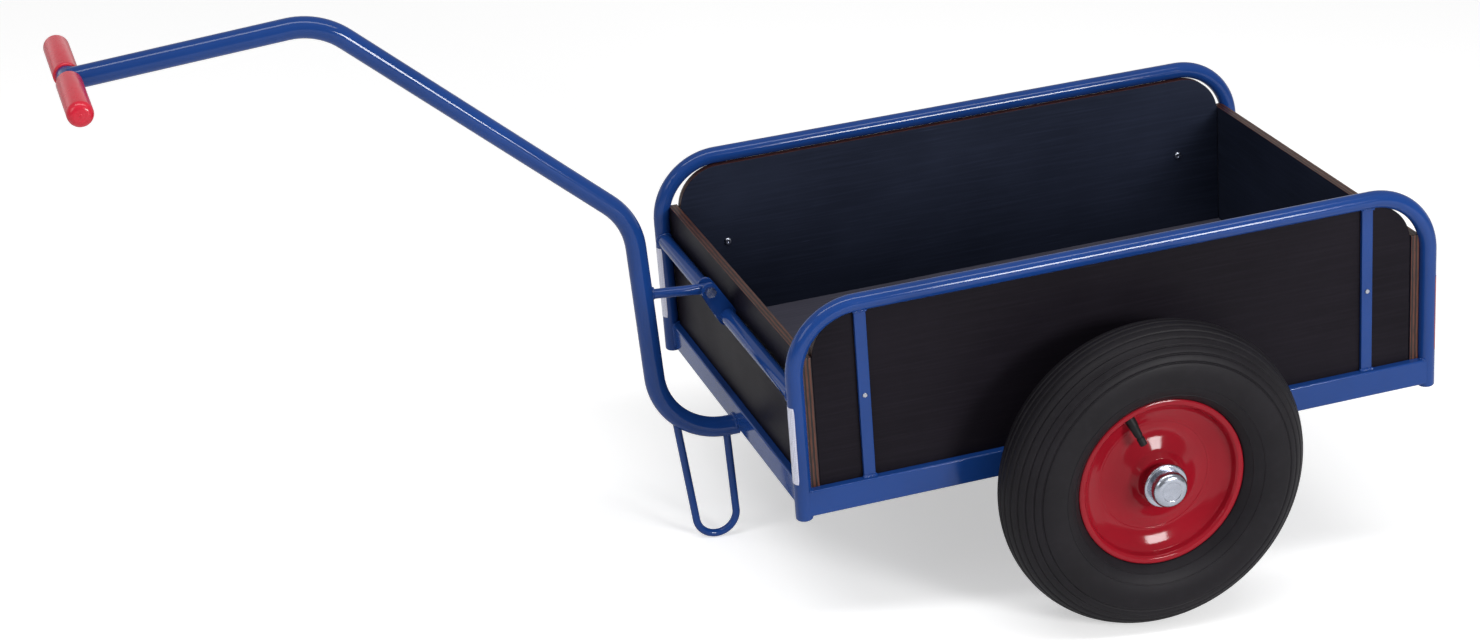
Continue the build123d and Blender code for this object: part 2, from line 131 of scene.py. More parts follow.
def rounded(
    corners: Sequence[Vector], radii: float | Sequence[float], step: float = BEND_STEP
) -> list[Vector]:
    """Path of straight runs joined by round bends.

    Args:
        corners: Ends of the path and the corners between them.
        radii: Bend radius of every corner, or one for each corner.
        step: Angle between points on a bend.

    Returns:
        Points along the path.
    """
    bends = [radii] * (len(corners) - 2) if isinstance(radii, (int, float)) else radii
    path = [corners[0]]
    for before, corner, after, bend in zip(corners, corners[1:], corners[2:], bends):
        back, ahead = (before - corner).normalized(), (after - corner).normalized()
        turn = math.pi - back.angle(ahead)
        if turn < step / 4 or bend <= 0:
            path.append(corner)
            continue
        centre = corner + (back + ahead).normalized() * (bend / math.cos(turn / 2))
        first = corner + back * (bend * math.tan(turn / 2)) - centre
        last = corner + ahead * (bend * math.tan(turn / 2)) - centre
        steps = max(2, math.ceil(turn / step))
        for count in range(steps + 1):
            angle = turn * count / steps
            swing = first * math.sin(turn - angle) + last * math.sin(angle)
            path.append(centre + swing / math.sin(turn))
    path.append(corners[-1])
    return path


def rectangle(low: Sequence[float], high: Sequence[float], radii: float | Sequence[float]) -> list[Vector]:
    """Outline of a rectangle with round corners.

    Args:
        low: Lowest corner in the rectangle's own plane.
        high: Highest corner.
        radii: Radius of every corner, or one for each corner from the lowest one on.

    Returns:
        Points round the outline, the first one not repeated.
    """
    corners = [Vector((x, y, 0)) for x, y in (low, (high[0], low[1]), high, (low[0], high[1]))]
    return rounded([corners[-1], *corners, corners[0]], radii)[1:-1]


def turned(rows: Sequence[tuple[float, float, float]], step: float = BEND_STEP) -> list[Vector]:
    """Profile of a turned piece from rows of radius, place along the axis and rounding."""
    return rounded([Vector(row[:2]) for row in rows], [row[2] for row in rows[1:-1]], step)


def arc(centre: Vector, first: Vector, second: Vector, start: float, end: float, steps: int) -> list[Vector]:
    """Points on an arc.

    Args:
        centre: Middle of the arc.
        first: Radius vector at angle 0.
        second: Radius vector at a quarter turn.
        start: First angle in degrees.
        end: Last angle in degrees.
        steps: Number of chords.

    Returns:
        Points from start to end.
    """
    angles = [math.radians(start + (end - start) * k / steps) for k in range(steps + 1)]
    return [centre + first * math.cos(a) + second * math.sin(a) for a in angles]


def ring(centre: Vector, first: Vector, second: Vector, steps: int) -> list[Vector]:
    """Points all round an ellipse, the first one not repeated."""
    return arc(centre, first, second, 0, 360, steps)[:-1]


def soft_ends(path: Sequence[Vector], radius: float, edge: float) -> tuple[list[Vector], list[float]]:
    """Path and radii of a round bar whose end edges are rounded off.

    Args:
        path: Centre line.
        radius: Radius of the bar.
        edge: Radius of the rounding.

    Returns:
        The longer path and the bar's radius at each of its points.
    """
    angles = [math.radians(angle) for angle in range(90, -1, -18)]
    inset = [edge * (1 - math.sin(a)) for a in angles]
    radii = [radius - edge + edge * math.cos(a) for a in angles]
    start, end = (path[1] - path[0]).normalized(), (path[-2] - path[-1]).normalized()
    head = [path[0] + start * reach for reach in inset]
    tail = [path[-1] + end * reach for reach in reversed(inset)]
    return head + list(path[1:-1]) + tail, radii + [radius] * (len(path) - 2) + radii[::-1]


def soften(piece: bpy.types.Object, width: float, segments: int, angle: float) -> None:
    """Round a piece's sharp edges.

    Args:
        piece: Piece to round.
        width: Width of the rounding.
        segments: Number of faces across it.
        angle: Angle in degrees above which an edge is rounded.
    """
    edge = piece.modifiers.new("edge_round", "BEVEL")
    edge.width, edge.segments, edge.harden_normals = width, segments, True
    edge.limit_method, edge.angle_limit = "ANGLE", math.radians(angle)


class Draft:
    """Points and faces of one piece while it is being drawn."""

    def __init__(self) -> None:
        """Start with nothing drawn."""
        self.points: list[Vector] = []
        self.faces: list[list[int]] = []
        self.marks: list[int] = []  # number of each face's finish

    def row(self, points: Iterable[Vector]) -> range:
        """Add a row of points.

        Args:
            points: Points in their order.

        Returns:
            Their numbers.
        """
        start = len(self.points)
        self.points.extend(points)
        return range(start, len(self.points))

    def close(self, row: Sequence[int], mark: int = 0) -> None:
        """Close a row with one face of the marked finish."""
        self.faces.append(list(row))
        self.marks.append(mark)

    def join(self, first: Sequence[int], second: Sequence[int], loop: bool = True, mark: int = 0) -> None:
        """Join two rows of the same length.

        Args:
            first: Point numbers of one row.
            second: Point numbers of the other row.
            loop: Whether the rows are closed.
            mark: Number of the finish.
        """
        for k in range(len(first) if loop else len(first) - 1):
            after = (k + 1) % len(first)
            self.close((first[k], first[after], second[after], second[k]), mark)

    def loft(self, rows: Sequence[Sequence[int]], loop: bool = True) -> Draft:
        """Join rows one to the next and close both ends.

        Args:
            rows: Point numbers of each row.
            loop: Whether the rows are closed.

        Returns:
            This draft.
        """
        for first, second in zip(rows, rows[1:]):
            self.join(first, second, loop)
        self.close(rows[0][::-1])
        self.close(rows[-1])
        return self

    def tube(
        self, path: Sequence[Vector], radius: float | Sequence[float], sides: int, endless: bool = False
    ) -> Draft:
        """Draw a round bar along a path.

        Args:
            path: Centre line.
            radius: Radius of the bar, or its radius at each point.
            sides: Number of faces round the bar.
            endless: Whether the path's end meets its start.

        Returns:
            This draft.
        """
        radii = [radius] * len(path) if isinstance(radius, (int, float)) else radius
        last, across, rows = len(path) - 1, None, []
        for k, (here, reach) in enumerate(zip(path, radii)):
            before = path[k - 1] if endless or k else here
            after = path[(k + 1) % len(path)] if endless or k < last else here
            ahead = (after - before).normalized()
            across = ahead.orthogonal() if across is None else across
            across = (across - ahead * across.dot(ahead)).normalized()
            rows.append(self.row(ring(here, across * reach, ahead.cross(across) * reach, sides)))
        if not endless:
            return self.loft(rows)
        for first, second in zip(rows, rows[1:] + rows[:1]):
            self.join(first, second)
        return self

    def lathe(self, profile: Sequence[Vector], steps: int, sign: int = 1, loop: bool = False) -> Draft:
        """Turn a profile round the y axis.

        Args:
            profile: Points whose x is the radius and whose y is the place along the axis.
            steps: Number of faces round the axis.
            sign: Sign of y on the side that the profile is for.
            loop: Whether the profile is closed.

        Returns:
            This draft.
        """
        rows = []
        for point in profile:
            middle, out, up = Vector((0, sign * point.y, 0)), Vector((point.x, 0, 0)), Vector((0, 0, point.x))
            rows.append(self.row(ring(middle, out, up, steps)))
        for first, second in zip(rows, rows[1:] + rows[:1] if loop else rows[1:]):
            self.join(first, second)
        return self

    def prism(self, outline: Sequence[Vector], along: Vector, side: int = 0, end: int = 0) -> Draft:
        """Draw an outline out along a vector.

        Args:
            outline: Closed outline, whose own face takes the first finish.
            along: Direction and length.
            side: Number of the finish round the outline.
            end: Number of the finish on the far end.

        Returns:
            This draft.
        """
        near, far = self.row(outline), self.row(point + along for point in outline)
        self.join(near, far, mark=side)
        self.close(near[::-1])
        self.close(far, end)
        return self

    def block(self, low: Vector, high: Vector, edge: float) -> Draft:
        """Draw a bar along x with rounded long edges between two corners."""
        outline = [Vector((low.x, p.x, p.y)) for p in rectangle(low.yz, high.yz, edge)]
        return self.prism(outline, Vector((high.x - low.x, 0, 0)))

    def moved(self, matrix: Matrix) -> Draft:
        """Move all that is drawn by a matrix."""
        self.points = [matrix @ point for point in self.points]
        return self


@dataclass
class WeldBead:
    """Rippled weld beads laid along seams, under the paint."""

    seed: int  # from which the beads' unevenness follows
    pitch: float = 0.22  # distance between rings, as a share of a bead's width
    ripple: float = 0.13
    ripple_rings: int = 4  # rings in one ripple
    unevenness: float = 0.07
    tip: float = 0.45  # share of the radius at an open end
    growth: float = 0.2  # share that each ring from there adds
    sides: int = 10

    def __post_init__(self) -> None:
        """Start with no bead laid."""
        self.draft = Draft()
        self.chance = random.Random(self.seed)

    def lay(self, seam: Sequence[Vector], width: float, endless: bool = False) -> None:
        """Lay a bead along a seam.

        Args:
            seam: Points along the seam.
            width: Width of the bead.
            endless: Whether the seam closes on itself.
        """
        points = [*seam, seam[0]] if endless else list(seam)
        path: list[Vector] = []
        for first, second in zip(points, points[1:]):
            count = max(1, round((second - first).length / (width * self.pitch)))
            path.extend(first.lerp(second, k / count) for k in range(count))
        if not endless:
            path.append(points[-1])
        radii = []
        for k in range(len(path)):
            wave = self.ripple * math.cos(math.tau * k / self.ripple_rings)
            swell = 1 + wave + self.chance.uniform(-self.unevenness, self.unevenness)
            from_end = min(k, len(path) - 1 - k)
            fade = 1.0 if endless else min(1.0, self.tip + self.growth * from_end)
            radii.append(width / 2 * swell * fade)
        self.draft.tube(path, radii, self.sides, endless)


class Shader:
    """A material being wired, with short names for the nodes that the finishes share."""

    def __init__(self, name: str) -> None:
        """Start a material with a Principled surface.

        Args:
            name: Name of the material.
        """
        self.material = bpy.data.materials.new(name)
        self.material.use_nodes = True
        self.tree = self.material.node_tree
        self.surface = self.tree.nodes["Principled BSDF"]
        self.place = self.tree.nodes.new("ShaderNodeTexCoord").outputs["Object"]
        self.relief: Socket | None = None

    def feed(self, socket: Socket, value: object) -> None:
        """Set an input of a node.

        Args:
            socket: The input.
            value: Output of another node, or a plain value.
        """
        if isinstance(value, Socket):
            self.tree.links.new(value, socket)
        else:
            socket.default_value = value

    def node(self, kind: str, inputs: dict[str | int, object], **options: object) -> bpy.types.Node:
        """Add a node.

        Args:
            kind: Blender's name of the node type.
            inputs: Values or sockets for its inputs, by name or number.
            **options: Values of its own settings.

        Returns:
            The node.
        """
        made = self.tree.nodes.new(kind)
        for name, value in options.items():
            setattr(made, name, value)
        for name, value in inputs.items():
            self.feed(made.inputs[name], value)
        return made

    def stretched(self, scale: Sequence[float]) -> Socket:
        """Object place with each axis scaled."""
        return self.node("ShaderNodeMapping", {"Vector": self.place, "Scale": scale}).outputs[0]

    def noise(self, scale: float, detail: float, place: Socket | None = None) -> Socket:
        """Cloudy value between 0 and 1 with about scale clouds a metre."""
        inputs = {"Vector": place or self.place, "Scale": scale, "Detail": detail}
        return self.node("ShaderNodeTexNoise", inputs).outputs["Fac"]

    def spread(self, value: Socket, low: float, high: float, first: float = 0.0, last: float = 1.0) -> Socket:
        """Value mapped from low..high to first..last and kept there."""
        inputs = {"Value": value, "From Min": low, "From Max": high, "To Min": first, "To Max": last}
        return self.node("ShaderNodeMapRange", inputs).outputs[0]

    def sums(self, operation: str, first: object, second: object) -> Socket:
        """Result of an operation on two values."""
        return self.node("ShaderNodeMath", {0: first, 1: second}, operation=operation).outputs[0]

    def blend(self, share: object, first: object, second: object) -> Socket:
        """Colour between two colours."""
        return self.node("ShaderNodeMix", {0: share, 6: first, 7: second}, data_type="RGBA").outputs[2]

    def varied(self, cloud: Socket, span: Span, colour: Colour, shares: Span) -> Socket:
        """A colour that varies between two shares of itself over a span of a cloudy value."""
        return self.blend(self.spread(cloud, *span), scaled(colour, shares[0]), scaled(colour, shares[1]))

    def uneven(self, cloud: Socket, span: Span, level: float, shares: Span) -> Socket:
        """A level that varies between two shares of itself over a span of a cloudy value."""
        return self.spread(cloud, *span, level * shares[0], level * shares[1])

    def bump(self, height: Socket, depth: float) -> None:
        """Add a relief to those already there.

        Args:
            height: Height of the relief, between 0 and 1.
            depth: Its real depth in metres.
        """
        inputs: dict[str | int, object] = {"Height": height, "Distance": depth, "Strength": 1.0}
        if self.relief is not None:
            inputs["Normal"] = self.relief
        self.relief = self.node("ShaderNodeBump", inputs).outputs[0]

    def finish(self, **inputs: object) -> bpy.types.Material:
        """Set the surface's inputs.

        Args:
            **inputs: Values or sockets by the input's name, with underscores for spaces.

        Returns:
            The material.
        """
        for name, value in inputs.items():
            self.feed(self.surface.inputs[name.replace("_", " ")], value)
        if self.relief is not None:
            self.feed(self.surface.inputs["Normal"], self.relief)
        return self.material


@dataclass(frozen=True)
class Finish:
    """A surface finish with the record's material slot that it belongs to."""

    name: str
    slot: str

    def material(self) -> bpy.types.Material:
        """The finish's material, wired once."""
        return bpy.data.materials.get(self.name) or self.wire(Shader(self.name))

    def wire(self, shader: Shader) -> bpy.types.Material:
        """Wire the material; each kind of finish has its own way."""
        raise NotImplementedError


@dataclass(frozen=True)
class Paint(Finish):
    """Sprayed or powder coated paint on steel, with a fine orange-peel skin."""

    colour: Colour
    roughness: float
    peel: float  # depth of the skin's waves
    sheen: float  # specular level, which is 0.5 on plain lacquer

    def wire(self, shader: Shader) -> bpy.types.Material:
        """Wire paint with soft tone shifts, dust in the film and a waved skin.

        Args:
            shader: Material to wire.

        Returns:
            The material.
        """
        tone = shader.varied(shader.noise(9, 4), (0.3, 0.7), self.colour, (0.9, 1.1))
        dust = shader.spread(shader.noise(1900, 1), 0.70, 0.78, 0.0, 0.22)
        speckled = shader.blend(dust, tone, scaled(self.colour, 2.1))
        rub = shader.spread(shader.noise(60, 5, shader.stretched((0.4, 1.0, 1.0))), 0.60, 0.78, 0.0, 0.12)
        worn = shader.blend(rub, speckled, scaled(self.colour, 1.25))
        shader.bump(shader.noise(330, 2), self.peel)
        rough = shader.uneven(shader.noise(40, 4), (0.3, 0.75), self.roughness, (0.85, 1.3))
        return shader.finish(Base_Color=worn, Roughness=rough, Specular_IOR_Level=self.sheen)


@dataclass(frozen=True)
class BoardFilm(Finish):
    """Dark resin film on plywood; the veneer's grain shows through it faintly."""

    colour: Colour
    roughness: float
    sheen: float

    def wire(self, shader: Shader) -> bpy.types.Material:
        """Wire the film with grain along the board, clouds and a few fine scuffs.

        Args:
            shader: Material to wire.

        Returns:
            The material.
        """
        grain = shader.noise(1.0, 5, shader.stretched((9, 260, 260)))
        cloud = shader.noise(7, 5)
        tone = shader.varied(cloud, (0.25, 0.75), self.colour, (0.8, 1.25))
        grained = shader.blend(shader.spread(grain, 0.45, 0.75, 0.0, 0.5), tone, scaled(self.colour, 1.6))
        scuff = shader.spread(shader.noise(1.0, 3, shader.stretched((16, 520, 520))), 0.66, 0.74)
        patch = shader.spread(shader.noise(11, 2), 0.5, 0.65, 0.0, 0.5)
        scuffed = shader.blend(shader.sums("MULTIPLY", scuff, patch), grained, scaled(self.colour, 3.0))
        shader.bump(grain, 0.00012)
        shader.bump(shader.noise(420, 3), 0.00005)
        rough = shader.uneven(cloud, (0.3, 0.7), self.roughness, (0.88, 1.15))
        return shader.finish(Base_Color=scuffed, Roughness=rough, Specular_IOR_Level=self.sheen)


@dataclass(frozen=True)
class PlyEdge(Finish):
    """Sealed saw-cut edge of plywood, its plies in bands through the board's thickness."""

    dark: Colour
    light: Colour
    ply: float  # thickness of one veneer

    def wire(self, shader: Shader) -> bpy.types.Material:
        """Wire bands of alternate veneers with glue lines, grain and pores.

        Args:
            shader: Material to wire.

        Returns:
            The material.
        """
        height = shader.node("ShaderNodeSeparateXYZ", {0: shader.place}).outputs["Z"]
        layer = shader.sums("DIVIDE", height, self.ply)
        sway = shader.spread(shader.noise(45, 3), 0.3, 0.7, -0.12, 0.12)
        wave = shader.sums("PINGPONG", shader.sums("ADD", layer, sway), 1.0)
        grain = shader.noise(1.0, 5, shader.stretched((70, 70, 900)))
        wood = shader.blend(shader.spread(wave, 0.35, 0.65), self.dark, self.light)
        streaked = shader.blend(shader.spread(grain, 0.35, 0.7, 0.0, 0.6), wood, scaled(self.dark, 0.75))
        glue = shader.spread(shader.sums("PINGPONG", layer, 0.5), 0.0, 0.09, 0.75, 0.0)
        lined = shader.blend(glue, streaked, scaled(self.dark, 0.3))
        shader.bump(grain, 0.0003)
        shader.bump(wave, 0.0002)
        return shader.finish(Base_Color=lined, Roughness=0.4, Specular_IOR_Level=0.45)


@dataclass(frozen=True)
class Rubber(Finish):
    """Moulded black rubber with a dull skin and a little dust."""

    colour: Colour
    roughness: float
    grain: float  # depth of the skin's grain

    def wire(self, shader: Shader) -> bpy.types.Material:
        """Wire rubber with dust in patches and a fine pitted skin.

        Args:
            shader: Material to wire.

        Returns:
            The material.
        """
        cloud = shader.noise(14, 5)
        tone = shader.varied(cloud, (0.3, 0.72), self.colour, (0.82, 1.22))
        dust = shader.spread(shader.noise(85, 6), 0.52, 0.8, 0.0, 0.3)
        dusty = shader.blend(dust, tone, scaled(self.colour, 2.0))
        shader.bump(shader.noise(1500, 2), self.grain)
        shader.bump(shader.noise(90, 3), self.grain * 1.5)
        rough = shader.uneven(cloud, (0.3, 0.7), self.roughness, (0.92, 1.1))
        return shader.finish(Base_Color=dusty, Roughness=rough, Specular_IOR_Level=0.16)


@dataclass(frozen=True)
class Plastic(Finish):
    """Glossy moulded plastic sleeve."""

    colour: Colour
    roughness: float

    def wire(self, shader: Shader) -> bpy.types.Material:
        """Wire plastic with faint flow marks and handling smudges.

        Args:
            shader: Material to wire.

        Returns:
            The material.
        """
        flow = shader.noise(30, 4, shader.stretched((1.0, 0.25, 1.0)))
        tone = shader.varied(flow, (0.3, 0.7), self.colour, (0.93, 1.07))
        shader.bump(shader.noise(700, 2), 0.000003)
        rough = shader.uneven(shader.noise(55, 5), (0.35, 0.7), self.roughness, (0.93, 1.15))
        return shader.finish(Base_Color=tone, Roughness=rough, Specular_IOR_Level=0.5)


@dataclass(frozen=True)
class Zinc(Finish):
    """Bright zinc plate on turned steel."""

    colour: Colour
    roughness: float

    def wire(self, shader: Shader) -> bpy.types.Material:
        """Wire plated metal with faint passivation tints and fine marks.

        Args:
            shader: Material to wire.

        Returns:
            The material.
        """
        tone = shader.varied(shader.noise(70, 4), (0.3, 0.7), self.colour, (1.0, 0.82))
        shader.bump(shader.noise(1.0, 3, shader.stretched((240, 1500, 240))), 0.00002)
        rough = shader.uneven(shader.noise(160, 4), (0.3, 0.75), self.roughness, (0.8, 1.5))
        return shader.finish(Base_Color=tone, Metallic=1.0, Roughness=rough)


@dataclass(frozen=True)
class ReflectiveTape(Finish):
    """Prismatic reflective tape under a clear face."""

    colour: Colour

    def wire(self, shader: Shader) -> bpy.types.Material:
        """Wire small prism cells under a clear coat.

        Args:
            shader: Material to wire.

        Returns:
            The material.
        """
        inputs = {"Vector": shader.place, "Scale": 420.0, "Randomness": 0.25}
        cell = shader.node("ShaderNodeTexVoronoi", inputs, feature="DISTANCE_TO_EDGE").outputs["Distance"]
        tone = shader.varied(cell, (0.02, 0.14), self.colour, (0.72, 1.0))
        shader.bump(cell, 0.0002)
        return shader.finish(Base_Color=tone, Roughness=0.35, Coat_Weight=0.8, Coat_Roughness=0.12)


@dataclass(frozen=True)
class PaleFloor(Finish):
    """Seamless pale studio floor."""

    colour: Colour
    lift: float  # light added where the floor is the background

    def wire(self, shader: Shader) -> bpy.types.Material:
        """Wire a dull floor with a trace of tone, lifted to white where it is seen as the background.

        Args:
            shader: Material to wire.

        Returns:
            The material.
        """
        tone = shader.blend(shader.noise(2, 2), scaled(self.colour, 0.995), self.colour)
        seen = shader.node("ShaderNodeLightPath", {}).outputs["Is Camera Ray"]
        return shader.finish(
            Base_Color=tone,
            Roughness=0.9,
            Specular_IOR_Level=0.1,
            Emission_Color=(1.0, 1.0, 1.0, 1.0),
            Emission_Strength=shader.sums("MULTIPLY", seen, self.lift),
        )


class Finishes(Enum):
    """All finishes of the cart and its studio."""

    BLUE = Paint("blue_powder_coat", "blue_paint", shade(24, 61, 127), 0.1, 0.000002, 0.32)
    RED_RIM = Paint("red_rim_paint", "red_rim", shade(144, 20, 34), 0.1, 0.000003, 0.22)
    FILM = BoardFilm("dark_board_film", "plywood", shade(25, 22, 28), 0.42, 0.06)
    # Inner faces: the same film as outside, made lighter and bluish as a painted reflection of the
    # surroundings
    INNER_FILM_PAINTED_REFLECTION = BoardFilm("inner_board_film_painted_reflection", "plywood", shade(33, 38, 53), 0.42, 0.06)
    FLOOR_FILM = BoardFilm("load_floor_film", "plywood", shade(76, 75, 87), 0.5, 0.2)
    PLY = PlyEdge("board_edge_plies", "plywood", shade(20, 9, 8), shade(100, 53, 36), 0.0024)
    TYRE = Rubber("tyre_rubber_skin", "tyre_rubber", shade(25, 23, 27), 0.5, 0.00005)
    VALVE = Rubber("valve_rubber_skin", "valve_rubber", shade(28, 28, 30), 0.45, 0.00002)
    GRIP = Plastic("red_grip_plastic", "red_grip", shade(205, 27, 52), 0.25)
    ZINC = Zinc("bright_zinc", "zinc", (0.5, 0.53, 0.61, 1.0), 0.22)
    WHITE_TAPE = ReflectiveTape("white_tape", "", shade(216, 218, 238))
    RED_TAPE = ReflectiveTape("red_tape", "", shade(150, 30, 48))
    FLOOR = PaleFloor("pale_floor", "", (0.9, 0.9, 0.9, 1.0), 0.46)


@dataclass(frozen=True)
class Bed:
    """The cart's own frame, pitched as the cart parks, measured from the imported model."""

    matrix: Matrix
    nodes: dict[str, bpy.types.Object]

    @classmethod
    def measured(cls, frame: dict) -> Bed:
        """Find the frame from the wheel's joint and the load floor's mount.


        Returns:
            The bed frame.
        """
        hinge = Vector(frame["joints"][0]["pos_m"])
        mounts = {mount["name"]: mount for mount in frame["record"]["mounts"]}
        up, left = Vector(mounts["load_floor"]["axis"]).normalized(), Vector((0, 1, 0))
        matrix = Matrix((left.cross(up), left, up)).transposed().to_4x4()
        matrix.translation = Vector((hinge.x, 0, hinge.z))
        return cls(matrix, frame["nodes"])

    def reach(self, node: str) -> tuple[Vector, Vector]:
        """Measure a CAD node in the bed frame.

        Args:
            node: Name of the node.

        Returns:
            Its lowest and highest corners.
        """
        inverse = self.matrix.inverted()
        spans = list(zip(*(inverse @ vertex.co for vertex in self.nodes[node].data.vertices)))
        return Vector(map(min, spans)), Vector(map(max, spans))


class Workshop:
    """Turns drafts into finished pieces that ride on the cart's bodies."""

    def __init__(self, bed: Bed) -> None:
        """Open a workshop for the cart's bed frame."""
        self.bed = bed
        self.count = 0

    def piece(
        self,
        name: str,
        draft: Draft,
        finishes: Sequence[Finishes],
        body: str = "frame",
        place: Matrix | None = None,
        stands_for: Sequence[str] = (),
        bevel: float = 0.0,
        crease: float = CREASE,
        own_axes: bool = False,
    ) -> None:
        """Make a piece from a draft.

        Args:
            name: Name of the piece.
            draft: Its points and faces.
            finishes: Finishes by mark.
            body: CAD body that the piece moves with.
            place: Where the draft's origin lies in the bed frame.
            stands_for: CAD nodes that the piece replaces.
            bevel: Width of the rounding on its sharp edges.
            crease: Angle in degrees above which an edge stays sharp.
            own_axes: Whether the piece keeps its draft's axes, which its finish then follows.
        """
        stand = self.bed.matrix @ (place or Matrix.Identity(4))
        if not own_axes:
            draft.moved(stand.to_3x3().to_4x4())
            stand = Matrix.Translation(stand.translation)
        mesh = bpy.data.meshes.new(name)
        mesh.from_pydata(draft.points, [], draft.faces)
        for finish in finishes:
            mesh.materials.append(finish.value.material())
        mesh.polygons.foreach_set("material_index", draft.marks)
        shape = bmesh.new()
        shape.from_mesh(mesh)
        bmesh.ops.remove_doubles(shape, verts=shape.verts, dist=1e-6)
        bmesh.ops.recalc_face_normals(shape, faces=shape.faces)
        shape.to_mesh(mesh)
        shape.free()
        mesh.polygons.foreach_set("use_smooth", [True] * len(mesh.polygons))
        mesh.set_sharp_from_angle(angle=math.radians(crease))
        made = bpy.data.objects.new(name, mesh)
        bpy.context.scene.collection.objects.link(made)
        made.matrix_world = stand
        if bevel:
            soften(made, bevel, 3, crease)
        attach(made, body)
        if stands_for:
            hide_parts(*stands_for)
        self.count += 1
        LOG.info("%s rides on %s", name, body)

    def blue(self, name: str, draft: Draft, *nodes: str, bevel: float = 0.0, crease: float = CREASE) -> None:
        """Make a blue piece of the frame that replaces CAD nodes."""
        self.piece(name, draft, [Finishes.BLUE], stands_for=nodes, bevel=bevel, crease=crease)

    def dress(self, node: str, finish: Finishes, bevel: float = 0.0) -> None:
        """Give a CAD node that keeps its own shape a finish and rounded edges.

        Args:
            node: Name of the node.
            finish: Its finish.
            bevel: Width of the rounding on its sharp edges.
        """
        piece = self.bed.nodes[node]
        piece.data.materials.clear()
        piece.data.materials.append(finish.value.material())
        if bevel:
            soften(piece, bevel, 2, 40)
        LOG.info("%s keeps its shape", node)


@dataclass
class TubeFrame:
    """Side hoops, base rails, straps and cross tubes with their welds and reflective tapes."""

    shop: Workshop
    hoop_bend: float = 0.082
    foot_round: float = 0.003
    rail_edge: float = 0.0022
    ledge_thickness: float = 0.004
    ledge_edge: float = 0.0006
    strap_width: float = 0.015  # as the photo shows it, narrower than its solid
    strap_edge: float = 0.0008
    strap_beads: Span = (0.0046, 0.0038)  # widths at a strap's foot and at its head
    cross_bead: float = 0.0042
    post_bead: float = 0.004
    corner_bead: float = 0.0036
    bead_lift: float = 0.0006  # of a bead's centre line off the metal
    head_lift: float = 0.0005  # the same under a hoop
    post_lift: float = 0.0004  # the same round a post
    bead_inset: float = 0.001  # of a bead's end from the end of its seam
    tape_height: float = 0.102
    tape_low: float = 0.046
    tape_turn: float = 56.0  # degrees to each side of straight ahead
    tape_thickness: float = 0.0003
    tape_corner: float = 0.0008

    def __post_init__(self) -> None:
        """Read the frame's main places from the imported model."""
        reach = self.shop.bed.reach
        low, high = reach("hoop_left")
        self.tube = (high.y - low.y) / 2
        self.hoop_y = (high.y + low.y) / 2
        self.post_x, self.top_z, self.foot_z = high.x - self.tube, high.z - self.tube, low.z
        self.rail_low, self.rail_high = reach("side_rail_left")
        self.ledge_x = reach("front_rail")[0].x
        self.panel_y = reach("side_panel_left")[1].y
        self.ledge_z = reach("floor_board")[0].z
        self.strap_low, self.strap_high = reach("strap_left_front")
        trim = (self.strap_high.x - self.strap_low.x - self.strap_width) / 2
        self.strap_low.x, self.strap_high.x = self.strap_low.x + trim, self.strap_high.x - trim
        low, high = reach("front_cross_tube")
        self.cross_z, self.cross_tube = (low.z + high.z) / 2, (high.z - low.z) / 2

    def build(self) -> None:
        """Make every piece of the frame."""
        for side, sign in SIDES:
            self.hoop(side, sign)
            self.side_rail(side, sign)
            self.side_welds(side, sign)
        for end, sign in ENDS:
            self.end_rail(end, sign)
            self.cross_tubes(end, sign)
            self.end_welds(end, sign)
        for end, end_sign in ENDS:
            for side, side_sign in SIDES:
                self.strap(side, side_sign, end, end_sign)
                self.tape(side, side_sign, end, end_sign)

    def hoop(self, side: str, sign: int) -> None:
        """Make one side's bent tube, closed and rounded at its feet.

        Args:
            side: Side of the cart.
            sign: Sign of y on that side.
        """
        corners = [(-1, self.foot_z), (-1, self.top_z), (1, self.top_z), (1, self.foot_z)]
        line = [Vector((end * self.post_x, sign * self.hoop_y, z)) for end, z in corners]
        path, radii = soft_ends(rounded(line, self.hoop_bend), self.tube, self.foot_round)
        self.shop.blue(f"bent_hoop_{side}", Draft().tube(path, radii, 40), f"hoop_{side}")

    def rail(self, half: float, walls: Span, ledge_half: float, ledge: Span) -> Draft:
        """Draw a base rail along x with its inner ledge.

        Args:
            half: Half the rail's length.
            walls: Places of its two upright faces.
            ledge_half: Half the ledge's length.
            ledge: Places of the ledge's two edges.

        Returns:
            The rail.
        """
        (low, high), (near, far) = sorted(walls), sorted(ledge)
        under, top = self.ledge_z - self.ledge_thickness, self.ledge_z
        foot, head = Vector((-half, low, self.rail_low.z)), Vector((half, high, self.rail_high.z))
        rail = Draft().block(foot, head, self.rail_edge)
        return rail.block(Vector((-ledge_half, near, under)), Vector((ledge_half, far, top)), self.ledge_edge)

    def side_rail(self, side: str, sign: int) -> None:
        """Make one side's base rail.

        Args:
            side: Side of the cart.
            sign: Sign of y on that side.
        """
        walls = sign * self.panel_y, sign * self.rail_high.y
        ledge = sign * self.rail_low.y, sign * (self.panel_y + self.rail_edge)
        rail = self.rail(self.post_x, walls, self.ledge_x, ledge)
        self.shop.blue(f"base_rail_{side}", rail, f"side_rail_{side}")

    def end_rail(self, end: str, sign: int) -> None:
        """Make one end's base rail, drawn along x and turned across the cart.

        Args:
            end: End of the cart.
            sign: Sign of x at that end.
        """
        wall = self.post_x - self.tube
        ledge = -sign * self.ledge_x, -sign * (wall + self.rail_edge)
        rail = self.rail(self.panel_y, (-sign * self.post_x, -sign * wall), self.panel_y, ledge)
        across = Matrix.Rotation(math.radians(90), 4, "Z")
        self.shop.blue(f"base_rail_{end}", rail.moved(across), f"{end}_rail")

    def cross_tubes(self, end: str, sign: int) -> None:
        """Make the tube across one end, between the posts."""
        path = [Vector((sign * self.post_x, y, self.cross_z)) for y in (-self.hoop_y, self.hoop_y)]
        self.shop.blue(f"cross_bar_{end}", Draft().tube(path, self.cross_tube, 40), f"{end}_cross_tube")

